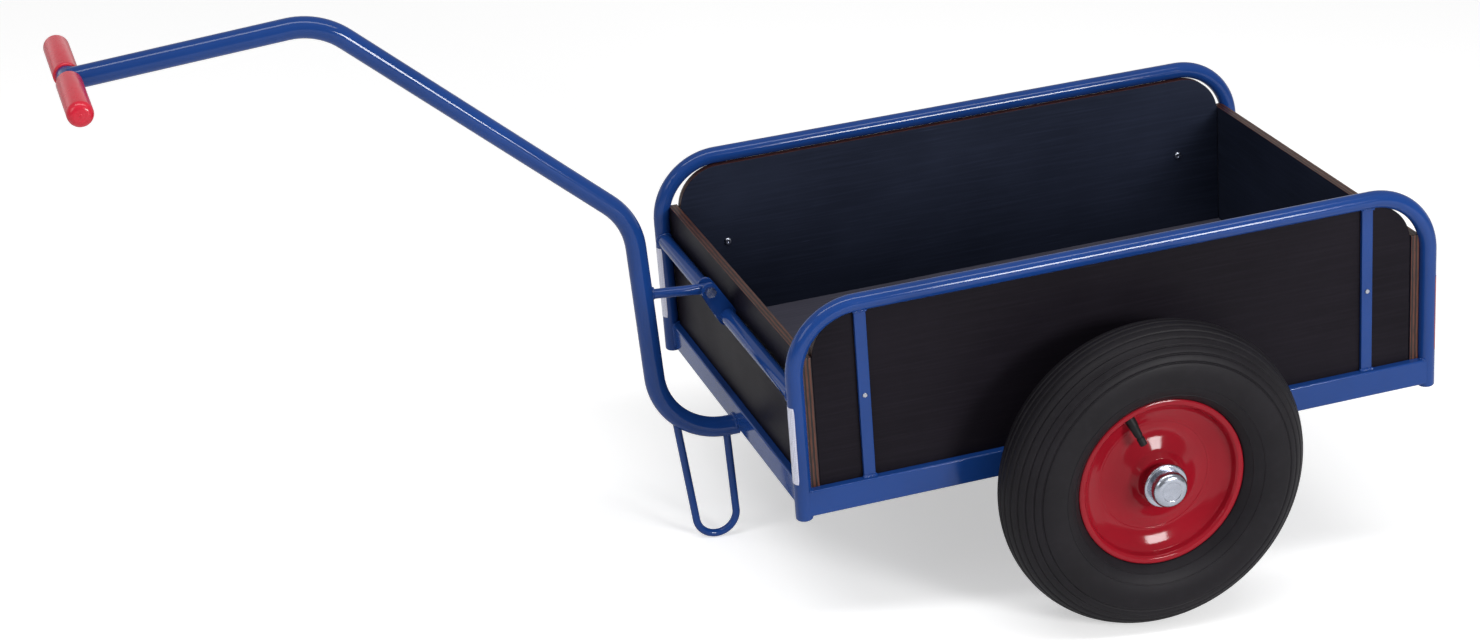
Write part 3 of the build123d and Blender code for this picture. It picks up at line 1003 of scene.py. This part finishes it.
    def strap(self, side: str, side_sign: int, end: str, end_sign: int) -> None:
        """Make one flat strap from a side rail up to the hoop.

        Args:
            side: Side of the cart.
            side_sign: Sign of y on that side.
            end: End of the cart.
            end_sign: Sign of x at that end.
        """
        low, high, foot = self.strap_low, self.strap_high, self.rail_high.z
        corners = [(low.x, foot), (high.x, foot), (high.x, self.top_z), (low.x, self.top_z)]
        outline = [Vector((end_sign * x, side_sign * low.y, z)) for x, z in corners]
        draft = Draft().prism(outline, Vector((0, side_sign * (high.y - low.y), 0)))
        self.shop.blue(f"flat_strap_{side}_{end}", draft, f"strap_{side}_{end}", bevel=self.strap_edge)

    def post_seam(self, end: int, side: int, start: float, stop: float, steps: int) -> list[Vector]:
        """Part of the seam round a post on top of the rails.

        Args:
            end: Sign of x at the post's end.
            side: Sign of y on the post's side.
            start: First angle in degrees, from the cart's middle.
            stop: Last angle in degrees.
            steps: Number of chords.

        Returns:
            Points along the seam.
        """
        post = Vector((end * self.post_x, side * self.hoop_y, self.rail_high.z))
        reach = self.tube + self.post_lift
        return arc(post, Vector((0, -side * reach, 0)), Vector((-end * reach, 0, 0)), start, stop, steps)

    def cross_seam(self, end: int, side: int) -> list[Vector]:
        """Seam where a cross tube meets a post.

        Args:
            end: Sign of x at the post's end.
            side: Sign of y on the post's side.

        Returns:
            Points round the seam.
        """
        seam = ring(Vector(), Vector((self.cross_tube, 0, 0)), Vector((0, 0, self.cross_tube)), 28)
        for point in seam:
            point.y = side * (self.hoop_y - math.sqrt(self.tube**2 - point.x**2) - self.bead_lift)
        return [point + Vector((end * self.post_x, 0, self.cross_z)) for point in seam]

    def side_welds(self, side: str, sign: int) -> None:
        """Lay the beads at the straps and where the side rail meets the posts.

        Args:
            side: Side of the cart.
            sign: Sign of y on that side.
        """
        beads = WeldBead(11 + sign)
        face, back = sign * (self.strap_high.y + self.bead_lift), sign * (self.strap_low.y + self.bead_inset)
        hang = math.sqrt(self.tube**2 - (self.strap_high.y - self.hoop_y) ** 2) + self.head_lift
        heights = self.rail_high.z + self.bead_lift, self.top_z - hang
        for _, end in ENDS:
            left, right = end * self.strap_low.x, end * self.strap_high.x
            for z, width in zip(heights, self.strap_beads):
                seam = ((left, back), (left, face), (right, face), (right, back))
                beads.lay([Vector((x, y, z)) for x, y in seam], width)
            beads.lay(self.post_seam(end, sign, 100, 150, 14), self.post_bead)
        self.shop.blue(f"weld_beads_{side}", beads.draft, crease=WELD_CREASE)

    def end_welds(self, end: str, sign: int) -> None:
        """Lay the beads where the cross tube and the end rail meet the posts.

        Args:
            end: End of the cart.
            sign: Sign of x at that end.
        """
        beads = WeldBead(23 + sign)
        ends = self.rail_high.z - self.bead_inset, self.rail_low.z + self.bead_inset
        for _, side in SIDES:
            beads.lay(self.cross_seam(sign, side), self.cross_bead, endless=True)
            beads.lay(self.post_seam(sign, side, -5, 80, 12), self.post_bead)
            y = side * (self.hoop_y - self.tube - self.post_lift)
            beads.lay([Vector((sign * self.post_x, y, z)) for z in ends], self.corner_bead)
        self.shop.blue(f"weld_beads_{end}", beads.draft, crease=WELD_CREASE)

    def tape(self, side: str, side_sign: int, end: str, end_sign: int) -> None:
        """Make one reflective tape on the outward face of a post, its corners cut round.

        Args:
            side: Side of the cart.
            side_sign: Sign of y on that side.
            end: End of the cart.
            end_sign: Sign of x at that end.
        """
        reach, corner, steps = self.tube + self.tape_thickness, self.tape_corner, 16
        ahead, across = Vector((end_sign, 0, 0)), Vector((0, 1, 0))
        rows, draft = [], Draft()
        for k in range(steps + 1):
            height = self.tape_height * k / steps
            gap = min(height, self.tape_height - height)
            trim = corner - math.sqrt(max(0.0, corner**2 - max(0.0, corner - gap) ** 2))
            turn = self.tape_turn - math.degrees(trim / reach)
            middle = Vector((end_sign * self.post_x, side_sign * self.hoop_y, self.tape_low + height))
            edge = arc(middle, ahead * self.tube, across * self.tube, -turn, turn, 1)
            face = arc(middle, ahead * reach, across * reach, -turn, turn, 20)
            rows.append(draft.row([edge[0], *face, edge[1]]))
        finish = Finishes.WHITE_TAPE if end_sign > 0 else Finishes.RED_TAPE
        self.shop.piece(f"reflective_tape_{side}_{end}", draft.loft(rows, loop=False), [finish])


@dataclass
class LoadBox:
    """Plywood boards of the load box and the screws that hold the side panels to the straps."""

    shop: Workshop
    side_corner: float = 0.057
    side_foot: float = 0.002  # radius of a side panel's lower corners
    board_corner: float = 0.0015
    side_rise: float = 0.0024  # of a side panel's top above its solid, up to the hoop
    end_spread: float = 0.002  # of an end panel past its solid, towards each side
    end_shift: float = 0.0005  # of an end panel outwards, up to the posts
    board_edge: float = 0.0006

    def build(self) -> None:
        """Make the boards and dress the button-head screws."""
        for side, sign in SIDES:
            self.side_panel(side, sign)
        for end, sign in ENDS:
            self.end_panel(end, sign)
        self.floor()
        for side, _ in SIDES:
            self.shop.dress(f"panel_screws_{side}", Finishes.ZINC)

    def board(
        self,
        name: str,
        node: str,
        outline: list[Vector],
        thickness: float,
        place: Matrix,
        films: Sequence[Finishes],
    ) -> None:
        """Make one board.

        Args:
            name: Where the board is, the last part of its name.
            node: CAD node that it replaces.
            outline: Outline in the board's own plane.
            thickness: Thickness of the board.
            place: Where the board's own frame lies in the bed frame.
            films: Finishes of the face in its own plane and of the opposite face.
        """
        draft = Draft().prism(outline, Vector((0, 0, thickness)), side=1, end=2)
        finishes = [films[0], Finishes.PLY, films[1]]
        self.shop.piece(
            f"film_board_{name}",
            draft,
            finishes,
            place=place,
            stands_for=[node],
            bevel=self.board_edge,
            own_axes=True,
        )

    def side_panel(self, side: str, sign: int) -> None:
        """Make one side panel, its top corners round to follow the hoop.

        Args:
            side: Side of the cart.
            sign: Sign of y on that side.
        """
        node = f"side_panel_{side}"
        low, high = self.shop.bed.reach(node)
        radii = (self.side_foot, self.side_foot, self.side_corner, self.side_corner)
        outline = rectangle(low.xz, (high.x, high.z + self.side_rise), radii)
        place = Matrix.Translation((0, high.y, 0)) @ Matrix.Rotation(math.radians(90), 4, "X")
        # the inner face takes the film with painted reflection
        films = (Finishes.FILM, Finishes.INNER_FILM_PAINTED_REFLECTION)[::sign]
        self.board(side, node, outline, high.y - low.y, place, films)

    def end_panel(self, end: str, sign: int) -> None:
        """Make one end panel, square at its corners.

        Args:
            end: End of the cart.
            sign: Sign of x at that end.
        """
        node = f"end_panel_{end}"
        low, high = self.shop.bed.reach(node)
        wide = high.y + self.end_spread
        outline = rectangle((-wide, low.z), (wide, high.z), self.board_corner)
        axes = Matrix(((0, 0, 1), (1, 0, 0), (0, 1, 0))).to_4x4()
        place = Matrix.Translation((low.x + sign * self.end_shift, 0, 0)) @ axes
        # the inner face takes the film with painted reflection
        films = (Finishes.INNER_FILM_PAINTED_REFLECTION, Finishes.FILM)[::sign]
        self.board(end, node, outline, high.x - low.x, place, films)

    def floor(self) -> None:
        """Make the load floor."""
        low, high = self.shop.bed.reach("floor_board")
        outline = rectangle(low.xy, high.xy, self.board_corner)
        films = (Finishes.FILM, Finishes.FLOOR_FILM)
        self.board("floor", "floor_board", outline, high.z - low.z, Matrix.Translation((0, 0, low.z)), films)


@dataclass
class DrawbarSet:
    """Bent drawbar with its T-handle, grips, strut, bracket and loop stand."""

    shop: Workshop
    bend: float = 0.092
    route: tuple[Span, ...] = (  # corner's place ahead of the axle, height above it
        (0.521, 0.001),
        (0.5338, 0.3086),
        (0.8885, 0.6284),
        (1.185, 0.6092),
    )
    foot_sink: float = 0.004  # of the drawbar's foot in the front rail
    stand_bend: float = 0.0275
    stand_middle: Span = (0.459, -0.1225)
    stand_leans: Span = (1.9, 5.9)  # rear and front leg, degrees
    strut_ends: tuple[Span, Span] = ((0.5295, 0.205), (0.435, 0.1961))
    strut_slim: float = 0.86  # share of its solid's radius, nearer to the photo
    press_start: float = 0.58  # share of the strut's length at which its pressing begins
    press_length: float = 0.2
    press_narrow: float = 0.2  # shares of its radius by which it gets narrower and taller
    press_rise: float = 0.08
    tip_start: float = 0.94  # share of the strut's length at which its tip rounds off
    tip_round: float = 0.75
    bracket_edge: float = 0.0007
    grip_round: float = 0.009
    grip_bore: float = 0.006  # depth to which the open end is drawn
    lip_round: float = 0.003
    foot_bead: float = 0.005
    tee_bead: float = 0.0035
    tee_share: float = 0.98  # of the T-bar's radius that its seam reaches at most
    strut_bead: float = 0.0036
    foot_lift: float = 0.0006  # of a bead's centre line off the metal
    bead_lift: float = 0.0004

    def __post_init__(self) -> None:
        """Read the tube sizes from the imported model."""
        reach = self.shop.bed.reach
        low, high = reach("drawbar")
        self.tube = (high.y - low.y) / 2
        self.foot_x = low.x
        low, high = reach("tee_bar")
        self.tee, self.tee_reach = (high.x - low.x) / 2, high.y
        self.grip_low, self.grip_high = reach("grip_left")
        low, high = reach("stand_loop")
        self.stand_bar = (high.y - low.y) / 2
        low, high = reach("strut")
        self.strut = (high.y - low.y) / 2
        self.corners = [Vector((x, 0, z)) for x, z in self.route]

    def build(self) -> None:
        """Make every piece of the drawbar."""
        self.bar()
        self.handle()
        for side, sign in SIDES:
            self.grip(side, sign)
        self.brace()
        self.shop.blue("loop_stand_bar", Draft().tube(self.stand_legs(), self.stand_bar, 28), "stand_loop")
        self.shop.dress("strut_bracket", Finishes.BLUE, self.bracket_edge)
        self.shop.dress("strut_bolt", Finishes.ZINC)
        self.welds()

    def bar(self) -> None:
        """Make the bent drawbar tube."""
        foot = Vector((self.foot_x - self.foot_sink, 0, self.corners[0].z))
        path = rounded([foot, *self.corners], self.bend)
        self.shop.blue("bent_drawbar", Draft().tube(path, self.tube, 48), "drawbar")

    def handle(self) -> None:
        """Make the T-bar that carries the grips."""
        path = [self.corners[-1] + Vector((0, y, 0)) for y in (-self.tee_reach, self.tee_reach)]
        self.shop.blue("t_handle", Draft().tube(path, self.tee, 40), "tee_bar")

    def grip(self, side: str, sign: int) -> None:
        """Make one sleeve grip with a rolled lip and a domed end that has the mould's pip in its middle.

        Args:
            side: Side of the cart.
            sign: Sign of y on that side.
        """
        start, end = self.grip_low.y, self.grip_high.y
        radius = (self.grip_high.x - self.grip_low.x) / 2
        rows = (  # radius, distance from the cart's middle, rounding
            (self.tee, start, 0.0),
            (radius, start, self.lip_round),
            (radius, end - 0.0009, self.grip_round),
            (0.0022, end - 0.0006, 0.0004),
            (0.0016, end, 0.0004),
            (0.0, end, 0.0),
        )
        profile = [Vector((self.tee, start + self.grip_bore)), *turned(rows, math.radians(8))]
        place = Matrix.Translation(self.corners[-1])
        draft = Draft().lathe(profile, 56, sign)
        nodes = [f"grip_{side}"]
        self.shop.piece(f"sleeve_grip_{side}", draft, [Finishes.GRIP], place=place, stands_for=nodes)

    def brace(self) -> None:
        """Make the strut, its end pressed flatter between the bracket's cheeks and rounded off."""
        first, last = (Vector((x, 0, z)) for x, z in self.strut_ends)
        upward = (last - first).normalized().cross(Vector((0, 1, 0)))
        draft, rows, count = Draft(), [], 40
        for k in range(count + 1):
            share = k / count
            press = min(1.0, max(0.0, (share - self.press_start) / self.press_length))
            press = press * press * (3 - 2 * press)
            wide = self.strut * (self.strut_slim - self.press_narrow * press)
            tall = self.strut * (self.strut_slim + self.press_rise * press)
            tip = max(0.0, share - self.tip_start) / (1 - self.tip_start)
            tall *= math.sqrt(1 - self.tip_round * tip**2)
            rows.append(draft.row(ring(first.lerp(last, share), Vector((0, wide, 0)), upward * tall, 32)))
        self.shop.blue("pressed_strut", draft.loft(rows), "strut")

    def stand_legs(self) -> list[Vector]:
        """Centre line of the loop stand.

        Returns:
            Points from the rear leg's top round the foot to the front leg's top.
        """
        x, z = self.stand_middle
        rear, front = (math.radians(lean) for lean in self.stand_leans)
        across, down = Vector((self.stand_bend, 0, 0)), Vector((0, 0, -self.stand_bend))
        foot = arc(Vector((x, 0, z)), across, down, 180 - self.stand_leans[0], self.stand_leans[1], 44)
        top = self.corners[0].z - foot[0].z
        head = foot[0] + Vector((top * math.tan(rear), 0, top))
        bend_middle = self.corners[0] + Vector((-self.bend, 0, self.bend))
        climb, gap = Vector((math.sin(front), 0, math.cos(front))), foot[-1] - bend_middle
        part = gap.dot(climb)
        rise = -part - math.sqrt(part**2 - gap.length_squared + self.bend**2)
        return [head, *foot, foot[-1] + climb * rise]

    def tee_seam(self) -> list[Vector]:
        """Seam where the drawbar meets the T-bar.

        Returns:
            Points round the seam.
        """
        head = self.corners[-1]
        ahead = (head - self.corners[-2]).normalized()
        upward = ahead.cross(Vector((0, 1, 0)))
        limit = self.tee * self.tee_share
        seam = []
        for point in ring(Vector(), Vector((0, self.tube, 0)), Vector((0, 0, self.tube)), 32):
            rise = max(-limit, min(limit, point.z))
            back = math.sqrt(self.tee**2 - rise**2) + self.bead_lift
            seam.append(head - ahead * back + Vector((0, point.y, 0)) + upward * rise)
        return seam

    def strut_seam(self) -> list[Vector]:
        """Seam where the strut meets the drawbar's upright.

        Returns:
            Points round the seam.
        """
        x, z = self.strut_ends[0]
        radius = self.strut_slim * self.strut
        seam = ring(Vector((x, 0, z)), Vector((0, radius, 0)), Vector((0, 0, radius)), 24)
        for point in seam:
            point.x -= math.sqrt(self.tube**2 - point.y**2) + self.bead_lift
        return seam

    def welds(self) -> None:
        """Lay the beads at the drawbar's foot, the T-bar and the strut."""
        beads = WeldBead(5)
        foot = Vector((self.foot_x + self.foot_lift, 0, self.corners[0].z))
        across, up = Vector((0, self.tube, 0)), Vector((0, 0, self.tube))
        beads.lay(arc(foot, across, up, -2, 182, 30), self.foot_bead)
        beads.lay(self.tee_seam(), self.tee_bead, endless=True)
        beads.lay(self.strut_seam(), self.strut_bead, endless=True)
        self.shop.blue("weld_beads_drawbar", beads.draft, crease=WELD_CREASE)


@dataclass
class Wheel:
    """Pneumatic wheel: ribbed tyre on a dished red rim, hub and valve."""

    shop: Workshop
    side: str
    sign: int
    groove_angles: tuple[float, ...] = tuple(12.0 * k for k in range(-6, 7))  # degrees from the crown
    groove_width: float = 0.0025
    groove_depth: float = 0.0014
    groove_spread: float = 1.6  # share of its width over which a groove's sides run out
    ring_angles: tuple[float, ...] = (84.0, 112.0, 128.0)  # of the sidewalls' rings, degrees from the crown
    ring_half: Span = (0.5, 0.9)  # half a ring's width at its top and at its foot, degrees
    ring_height: float = 0.000495
    plain_step: int = 3  # degrees between points where the tyre is plain
    plain_gap: float = 1.2  # least angle between those and the points of grooves and rings
    widest: float = 0.97  # sine of the angle past which a ring stays within the tyre's width
    tyre_crease: float = 48.0
    rim_crease: float = 60.0
    bead_gap: float = 0.0003  # between tyre and rim
    flange_height: float = 0.0083
    seat: float = 0.1012
    rim_half: float = 0.031
    flange_inside: float = 0.0275
    hub_bore: float = 0.01005
    hub_edge: float = 0.0012
    valve_angle: float = 68.0
    valve_splay: float = 18.0
    valve_length: float = 0.034
    valve_depth: float = 0.009  # of its root below the seat
    valve_inset: float = 0.0085  # of its root from the flange's inside

    def __post_init__(self) -> None:
        """Read the wheel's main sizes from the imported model."""
        low, high = self.shop.bed.reach(f"tyre_{self.side}")
        self.radius = (high.x - low.x) / 2
        self.section = (high.y - low.y) / 2
        middle = (high.y + low.y) / 2
        low, high = self.shop.bed.reach(f"hub_{self.side}")
        self.hub = (high.x - low.x) / 2
        self.hub_ends = sorted((self.sign * (low.y - middle), self.sign * (high.y - middle)))
        self.place = Matrix.Translation((0, middle, 0))
        self.flange = self.seat + self.flange_height

    def build(self) -> None:
        """Make every piece of the wheel."""
        tyre, rim = Draft().lathe(self.tyre(), 176, loop=True), Draft().lathe(self.rim(), 192)
        self.part("ribbed_tyre", "tyre", tyre, Finishes.TYRE, self.tyre_crease)
        self.part("dished_rim", "wheel_rim", rim, Finishes.RED_RIM, self.rim_crease)
        self.hub_sleeve()
        self.valve()

    def part(
        self,
        name: str,
        node: str,
        draft: Draft,
        finish: Finishes,
        crease: float = CREASE,
        at: Matrix | None = None,
    ) -> None:
        """Make a piece of this wheel.

        Args:
            name: Name of the piece, without the side.
            node: CAD node that it replaces, without the side.
            draft: Its points and faces.
            finish: Its finish.
            crease: Angle in degrees above which an edge stays sharp.
            at: Where the draft's origin lies, measured from the wheel's middle.
        """
        place = self.place if at is None else self.place @ at
        body, nodes = f"{self.side}_wheel", [f"{node}_{self.side}"]
        self.shop.piece(f"{name}_{self.side}", draft, [finish], body, place, nodes, crease=crease)

    def tyre(self) -> list[Vector]:
        """Profile of the tyre: round section, ribs between grooves, rings on the sidewalls and a bead.

        Returns:
            Points of radius and place along the axle.
        """
        limit = 180 - math.degrees(math.asin(self.rim_half / self.section))
        half, steps = math.degrees(self.groove_width * self.groove_spread / self.section) / 2, 8
        stations: list[Span] = []  # angle from the crown, height above the round section
        for angle in self.groove_angles:
            for k in range(-steps, steps + 1):
                depth = self.groove_depth * math.cos(k / steps * math.pi / 2) ** 2
                stations.append((angle + half * k / steps, -depth))
        top, foot = self.ring_half
        shape = ((-foot, 0.0), (-top, self.ring_height), (top, self.ring_height), (foot, 0.0))
        for sign in (-1, 1):
            for angle in self.ring_angles:
                stations += [(sign * (angle + turn), height) for turn, height in shape]
        taken = [angle for angle, _ in stations]
        for angle in range(-int(limit), int(limit) + 1, self.plain_step):
            if all(abs(angle - spot) > self.plain_gap for spot in taken):
                stations.append((float(angle), 0.0))
        centre, profile = self.radius - self.section, []
        for angle, height in sorted([*stations, (-limit, 0.0), (limit, 0.0)]):
            turn, reach = math.radians(angle), self.section + height
            across = min(self.section, reach) if abs(math.sin(turn)) > self.widest else reach
            profile.append(Vector((centre + reach * math.cos(turn), across * math.sin(turn))))
        inner = self.flange_inside - self.bead_gap
        seat, flange = self.seat + self.bead_gap, self.flange + self.bead_gap
        bead = ((flange, inner), (seat, inner), (seat, -inner), (flange, -inner))
        return profile + [Vector(point) for point in bead]

    def rim(self) -> list[Vector]:
        """Profile of the rim: two dished faces with rolled lips, back to back.

        Returns:
            Points of radius and place along the axle.
        """
        rows = (  # radius, place outwards, rounding
            (self.hub - 0.001, 0.0245, 0.0),
            (0.0296, 0.0245, 0.0010),
            (0.0310, 0.0232, 0.0030),
            (0.0370, 0.0165, 0.0140),
            (0.0560, 0.0079, 0.0500),
            (0.0665, 0.0066, 0.0400),
            (0.0712, 0.0066, 0.0006),
            (0.0722, 0.0072, 0.0006),
            (0.0745, 0.0074, 0.0010),
            (0.0800, 0.0090, 0.0400),
            (0.0930, 0.0149, 0.0300),
            (0.0985, 0.0202, 0.0060),
            (0.1003, 0.0272, 0.0040),
            (0.1030, 0.0302, 0.0030),
            (self.flange - 0.0020, self.rim_half - 0.0002, 0.0020),
            (self.flange, self.rim_half - 0.0010, 0.0010),
            (self.flange, self.flange_inside, 0.0008),
            (self.seat, self.flange_inside, 0.0010),
            (self.seat, 0.012, 0.0),
        )
        face = turned(rows, math.radians(5))
        return face + [Vector((point.x, -point.y)) for point in reversed(face)]

    def hub_sleeve(self) -> None:
        """Make the hub sleeve that runs on the axle."""
        inner, outer = self.hub_ends
        rows = (
            (self.hub_bore, inner, 0.0),
            (self.hub, inner, self.hub_edge),
            (self.hub, outer, self.hub_edge),
            (self.hub_bore, outer, 0.0),
        )
        draft = Draft().lathe(turned(rows), 96, self.sign, loop=True)
        self.part("hub_sleeve", "hub", draft, Finishes.RED_RIM)

    def valve(self) -> None:
        """Make the rubber valve with its cap, standing from the lip towards the hub."""
        turn, splay = math.radians(self.valve_angle), math.radians(self.valve_splay)
        ray, out = Vector((math.cos(turn), 0, math.sin(turn))), Vector((0, self.sign, 0))
        root = ray * (self.seat - self.valve_depth) + out * (self.flange_inside - self.valve_inset)
        ahead = out * math.sin(splay) - ray * math.cos(splay)
        rows = (  # radius, distance from the root, rounding
            (0.0, -0.006, 0.0),
            (0.0066, -0.006, 0.0005),
            (0.0064, 0.006, 0.002),
            (0.0054, 0.012, 0.002),
            (0.0051, 0.0205, 0.0005),
            (0.0042, 0.0215, 0.0004),
            (0.0042, 0.0235, 0.0003),
            (0.0049, 0.0238, 0.0003),
            (0.0047, self.valve_length, 0.001),
            (0.0, self.valve_length, 0.0),
        )
        aim = Vector((0, 1, 0)).rotation_difference(ahead).to_matrix().to_4x4()
        draft = Draft().lathe(turned(rows), 40)
        self.part("rubber_valve", "valve", draft, Finishes.VALVE, at=Matrix.Translation(root) @ aim)


@dataclass
class AxleEnds:
    """Axle with its spacers, thrust washers and end caps."""

    shop: Workshop
    swell: float = 1.1  # width of the plated ends, as a share of their solids' width
    spacer_edge: float = 0.0006
    washer_bore: float = 0.0098
    washer_thickness: float = 0.005
    washer_back: float = 0.0008  # rounding on the side of the hub
    washer_edge: float = 0.0028
    cap_round: float = 0.0085
    dimple: float = 0.0128
    dimple_slope: float = 0.0006
    dimple_depth: float = 0.0005
    dimple_edge: float = 0.0008

    def build(self) -> None:
        """Dress the axle and make its ends."""
        self.shop.dress("axle", Finishes.ZINC)
        self.shop.dress("axle_spacers", Finishes.ZINC, self.spacer_edge)
        low, high = self.shop.bed.reach("axle_washers")
        radius = self.swell * (high.x - low.x) / 2
        washers = Draft()
        for side, sign in SIDES:
            low, high = self.shop.bed.reach(f"axle_cap_{side}")
            start, end = sorted((abs(low.y), abs(high.y)))
            self.cap(side, sign, start, end, self.swell * (high.x - low.x) / 2)
            rows = (
                (self.washer_bore, start - self.washer_thickness, 0.0),
                (radius, start - self.washer_thickness, self.washer_back),
                (radius, start, self.washer_edge),
                (self.washer_bore, start, 0.0),
            )
            washers.lathe(turned(rows, math.radians(10)), 96, sign, loop=True)
        self.shop.piece("thrust_washers", washers, [Finishes.ZINC], stands_for=["axle_washers"])

    def cap(self, side: str, sign: int, start: float, end: float, radius: float) -> None:
        """Make one end cap: drawn cup with a soft edge and a shallow dimpled face.

        Args:
            side: Side of the cart.
            sign: Sign of y on that side.
            start: Distance of the cap's open end from the middle of the cart.
            end: Distance of its face from the middle.
            radius: Radius of the cap.
        """
        rows = (
            (radius, start, 0.0),
            (radius, end, self.cap_round),
            (self.dimple, end, self.dimple_edge),
            (self.dimple - self.dimple_slope, end - self.dimple_depth, self.dimple_edge),
            (0.0, end - self.dimple_depth, 0.0),
        )
        draft = Draft().lathe(turned(rows, math.radians(6)), 96, sign)
        self.shop.piece(f"drawn_cap_{side}", draft, [Finishes.ZINC], stands_for=[f"axle_cap_{side}"])


@dataclass(frozen=True)
class Softbox:
    """A rectangular studio light that looks at a point."""

    name: str
    place: tuple[float, float, float]
    target: tuple[float, float, float]
    width: float
    height: float
    power: float

    def hang(self) -> None:
        """Hang the light in the scene."""
        data = bpy.data.lights.new(self.name, "AREA")
        data.shape, data.size, data.size_y, data.energy = "RECTANGLE", self.width, self.height, self.power
        lamp = bpy.data.objects.new(self.name, data)
        lamp.location = self.place
        lamp.rotation_euler = (Vector(self.target) - lamp.location).to_track_quat("-Z", "Y").to_euler()
        bpy.context.scene.collection.objects.link(lamp)
        LOG.info("%s hangs in the studio", self.name)


@dataclass
class Studio:
    """Pale floor, soft light and the photograph's camera."""

    floor_size: float = 60.0
    sky_light: float = 0.42
    backdrop_light: float = 0.95
    room_light: float = 0.2
    backdrop_span: Span = (0.06, 0.3)  # sines of the elevations where the backdrop fades
    room_span: Span = (0.1, 0.8)  # sines of the elevations where the room behind the camera fades
    turn_span: Span = (-0.35, 0.25)  # from the backdrop's side, -y, to the camera's
    softboxes: tuple[Softbox, ...] = (
        Softbox("key_box", (-1.67, 3.6, 1.45), (-0.4, 0.3, 0.35), 0.95, 0.9, 84.0),
        Softbox("long_box", (0.2, 0.9, 3.4), (0.0, 0.0, 0.3), 4.2, 0.6, 50.0),
        Softbox("handle_box", (3.4, 1.8, 2.2), (0.2, 0.0, 0.4), 1.6, 1.6, 20.0),
    )
    azimuth: float = 18.071
    elevation: float = 21.861
    roll: float = 1.159
    distance: float = 3.8133
    target: tuple[float, float, float] = (0.0057, 0.0, 0.3025)
    focal_pixels: float = 2971.3
    sensor: float = 36.0

    def build(self) -> None:
        """Set up the whole studio."""
        bpy.context.scene.view_settings.view_transform = "Standard"
        self.floor()
        self.world()
        for box in self.softboxes:
            box.hang()
        self.camera()

    def floor(self) -> None:
        """Lay the floor under the wheels."""
        half = self.floor_size / 2
        mesh = bpy.data.meshes.new("studio_floor")
        outline = [(-half, -half, 0), (half, -half, 0), (half, half, 0), (-half, half, 0)]
        mesh.from_pydata(outline, [], [(0, 1, 2, 3)])
        mesh.materials.append(Finishes.FLOOR.value.material())
        floor = bpy.data.objects.new("studio_floor", mesh)
        bpy.context.scene.collection.objects.link(floor)
        floor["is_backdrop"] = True

    def world(self) -> None:
        """Light the studio from a pale backdrop and a darker room behind the camera, fading to the sky."""
        world = bpy.data.worlds.new("studio_world")
        bpy.context.scene.world = world
        world.use_nodes = True
        tree = world.node_tree
        parts = tree.nodes.new("ShaderNodeSeparateXYZ")
        tree.links.new(tree.nodes.new("ShaderNodeTexCoord").outputs["Generated"], parts.inputs[0])

        def fade(axis: str, span: Span, first: object, last: object) -> Socket:
            """Light that changes smoothly along an axis.

            Args:
                axis: Axis of the direction looked in.
                span: Where the change begins and ends.
                first: Level before the span.
                last: Level after it.

            Returns:
                The light's level.
            """
            step = tree.nodes.new("ShaderNodeMapRange")
            step.interpolation_type = "SMOOTHSTEP"
            tree.links.new(parts.outputs[axis], step.inputs["Value"])
            step.inputs["From Min"].default_value, step.inputs["From Max"].default_value = span
            for name, level in (("To Min", first), ("To Max", last)):
                if isinstance(level, Socket):
                    tree.links.new(level, step.inputs[name])
                else:
                    step.inputs[name].default_value = level
            return step.outputs[0]

        backdrop = fade("Z", self.backdrop_span, self.backdrop_light, self.sky_light)
        room = fade("Z", self.room_span, self.room_light, self.sky_light)
        light = tree.nodes["Background"]
        light.inputs["Color"].default_value = (1.0, 1.0, 1.0, 1.0)
        tree.links.new(fade("Y", self.turn_span, backdrop, room), light.inputs["Strength"])

    def camera(self) -> None:
        """Stand the camera where the photograph was taken from."""
        across, rise, lean = (math.radians(angle) for angle in (self.azimuth, self.elevation, self.roll))
        back = Vector((math.sin(across) * math.cos(rise), math.cos(across) * math.cos(rise), math.sin(rise)))
        right = Vector((0, 0, 1)).cross(back).normalized()
        up = back.cross(right)
        level = right * math.cos(lean) + up * math.sin(lean)
        plumb = up * math.cos(lean) - right * math.sin(lean)
        data = bpy.data.cameras.new("photo_camera")
        data.sensor_width, data.lens = self.sensor, self.focal_pixels * self.sensor / PHOTO_WIDTH
        data.clip_start, data.clip_end = 0.05, 200.0
        camera = bpy.data.objects.new("photo_camera", data)
        place = Matrix((level, plumb, back)).transposed().to_4x4()
        place.translation = Vector(self.target) + back * self.distance
        camera.matrix_world = place
        bpy.context.scene.collection.objects.link(camera)
        bpy.context.scene.camera = camera


def corners(box: Sequence[Iterable[float]]) -> list[list[float]]:
    """A box as plain lists of numbers."""
    return [[float(value) for value in corner] for corner in box]


def main() -> None:
    """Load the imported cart, dress it and set it in the studio."""
    logging.basicConfig(level=logging.INFO, format="%(name)s: %(message)s")
    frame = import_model()
    cad_box = corners(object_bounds())
    shop = Workshop(Bed.measured(frame))
    TubeFrame(shop).build()
    LoadBox(shop).build()
    DrawbarSet(shop).build()
    for side, sign in SIDES:
        Wheel(shop, side, sign).build()
    AxleEnds(shop).build()
    Studio().build()
    {"cad_box": cad_box, "visual_box": corners(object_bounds())}
    LOG.info("%d pieces made", shop.count)


if __name__ == "__main__":
    main()
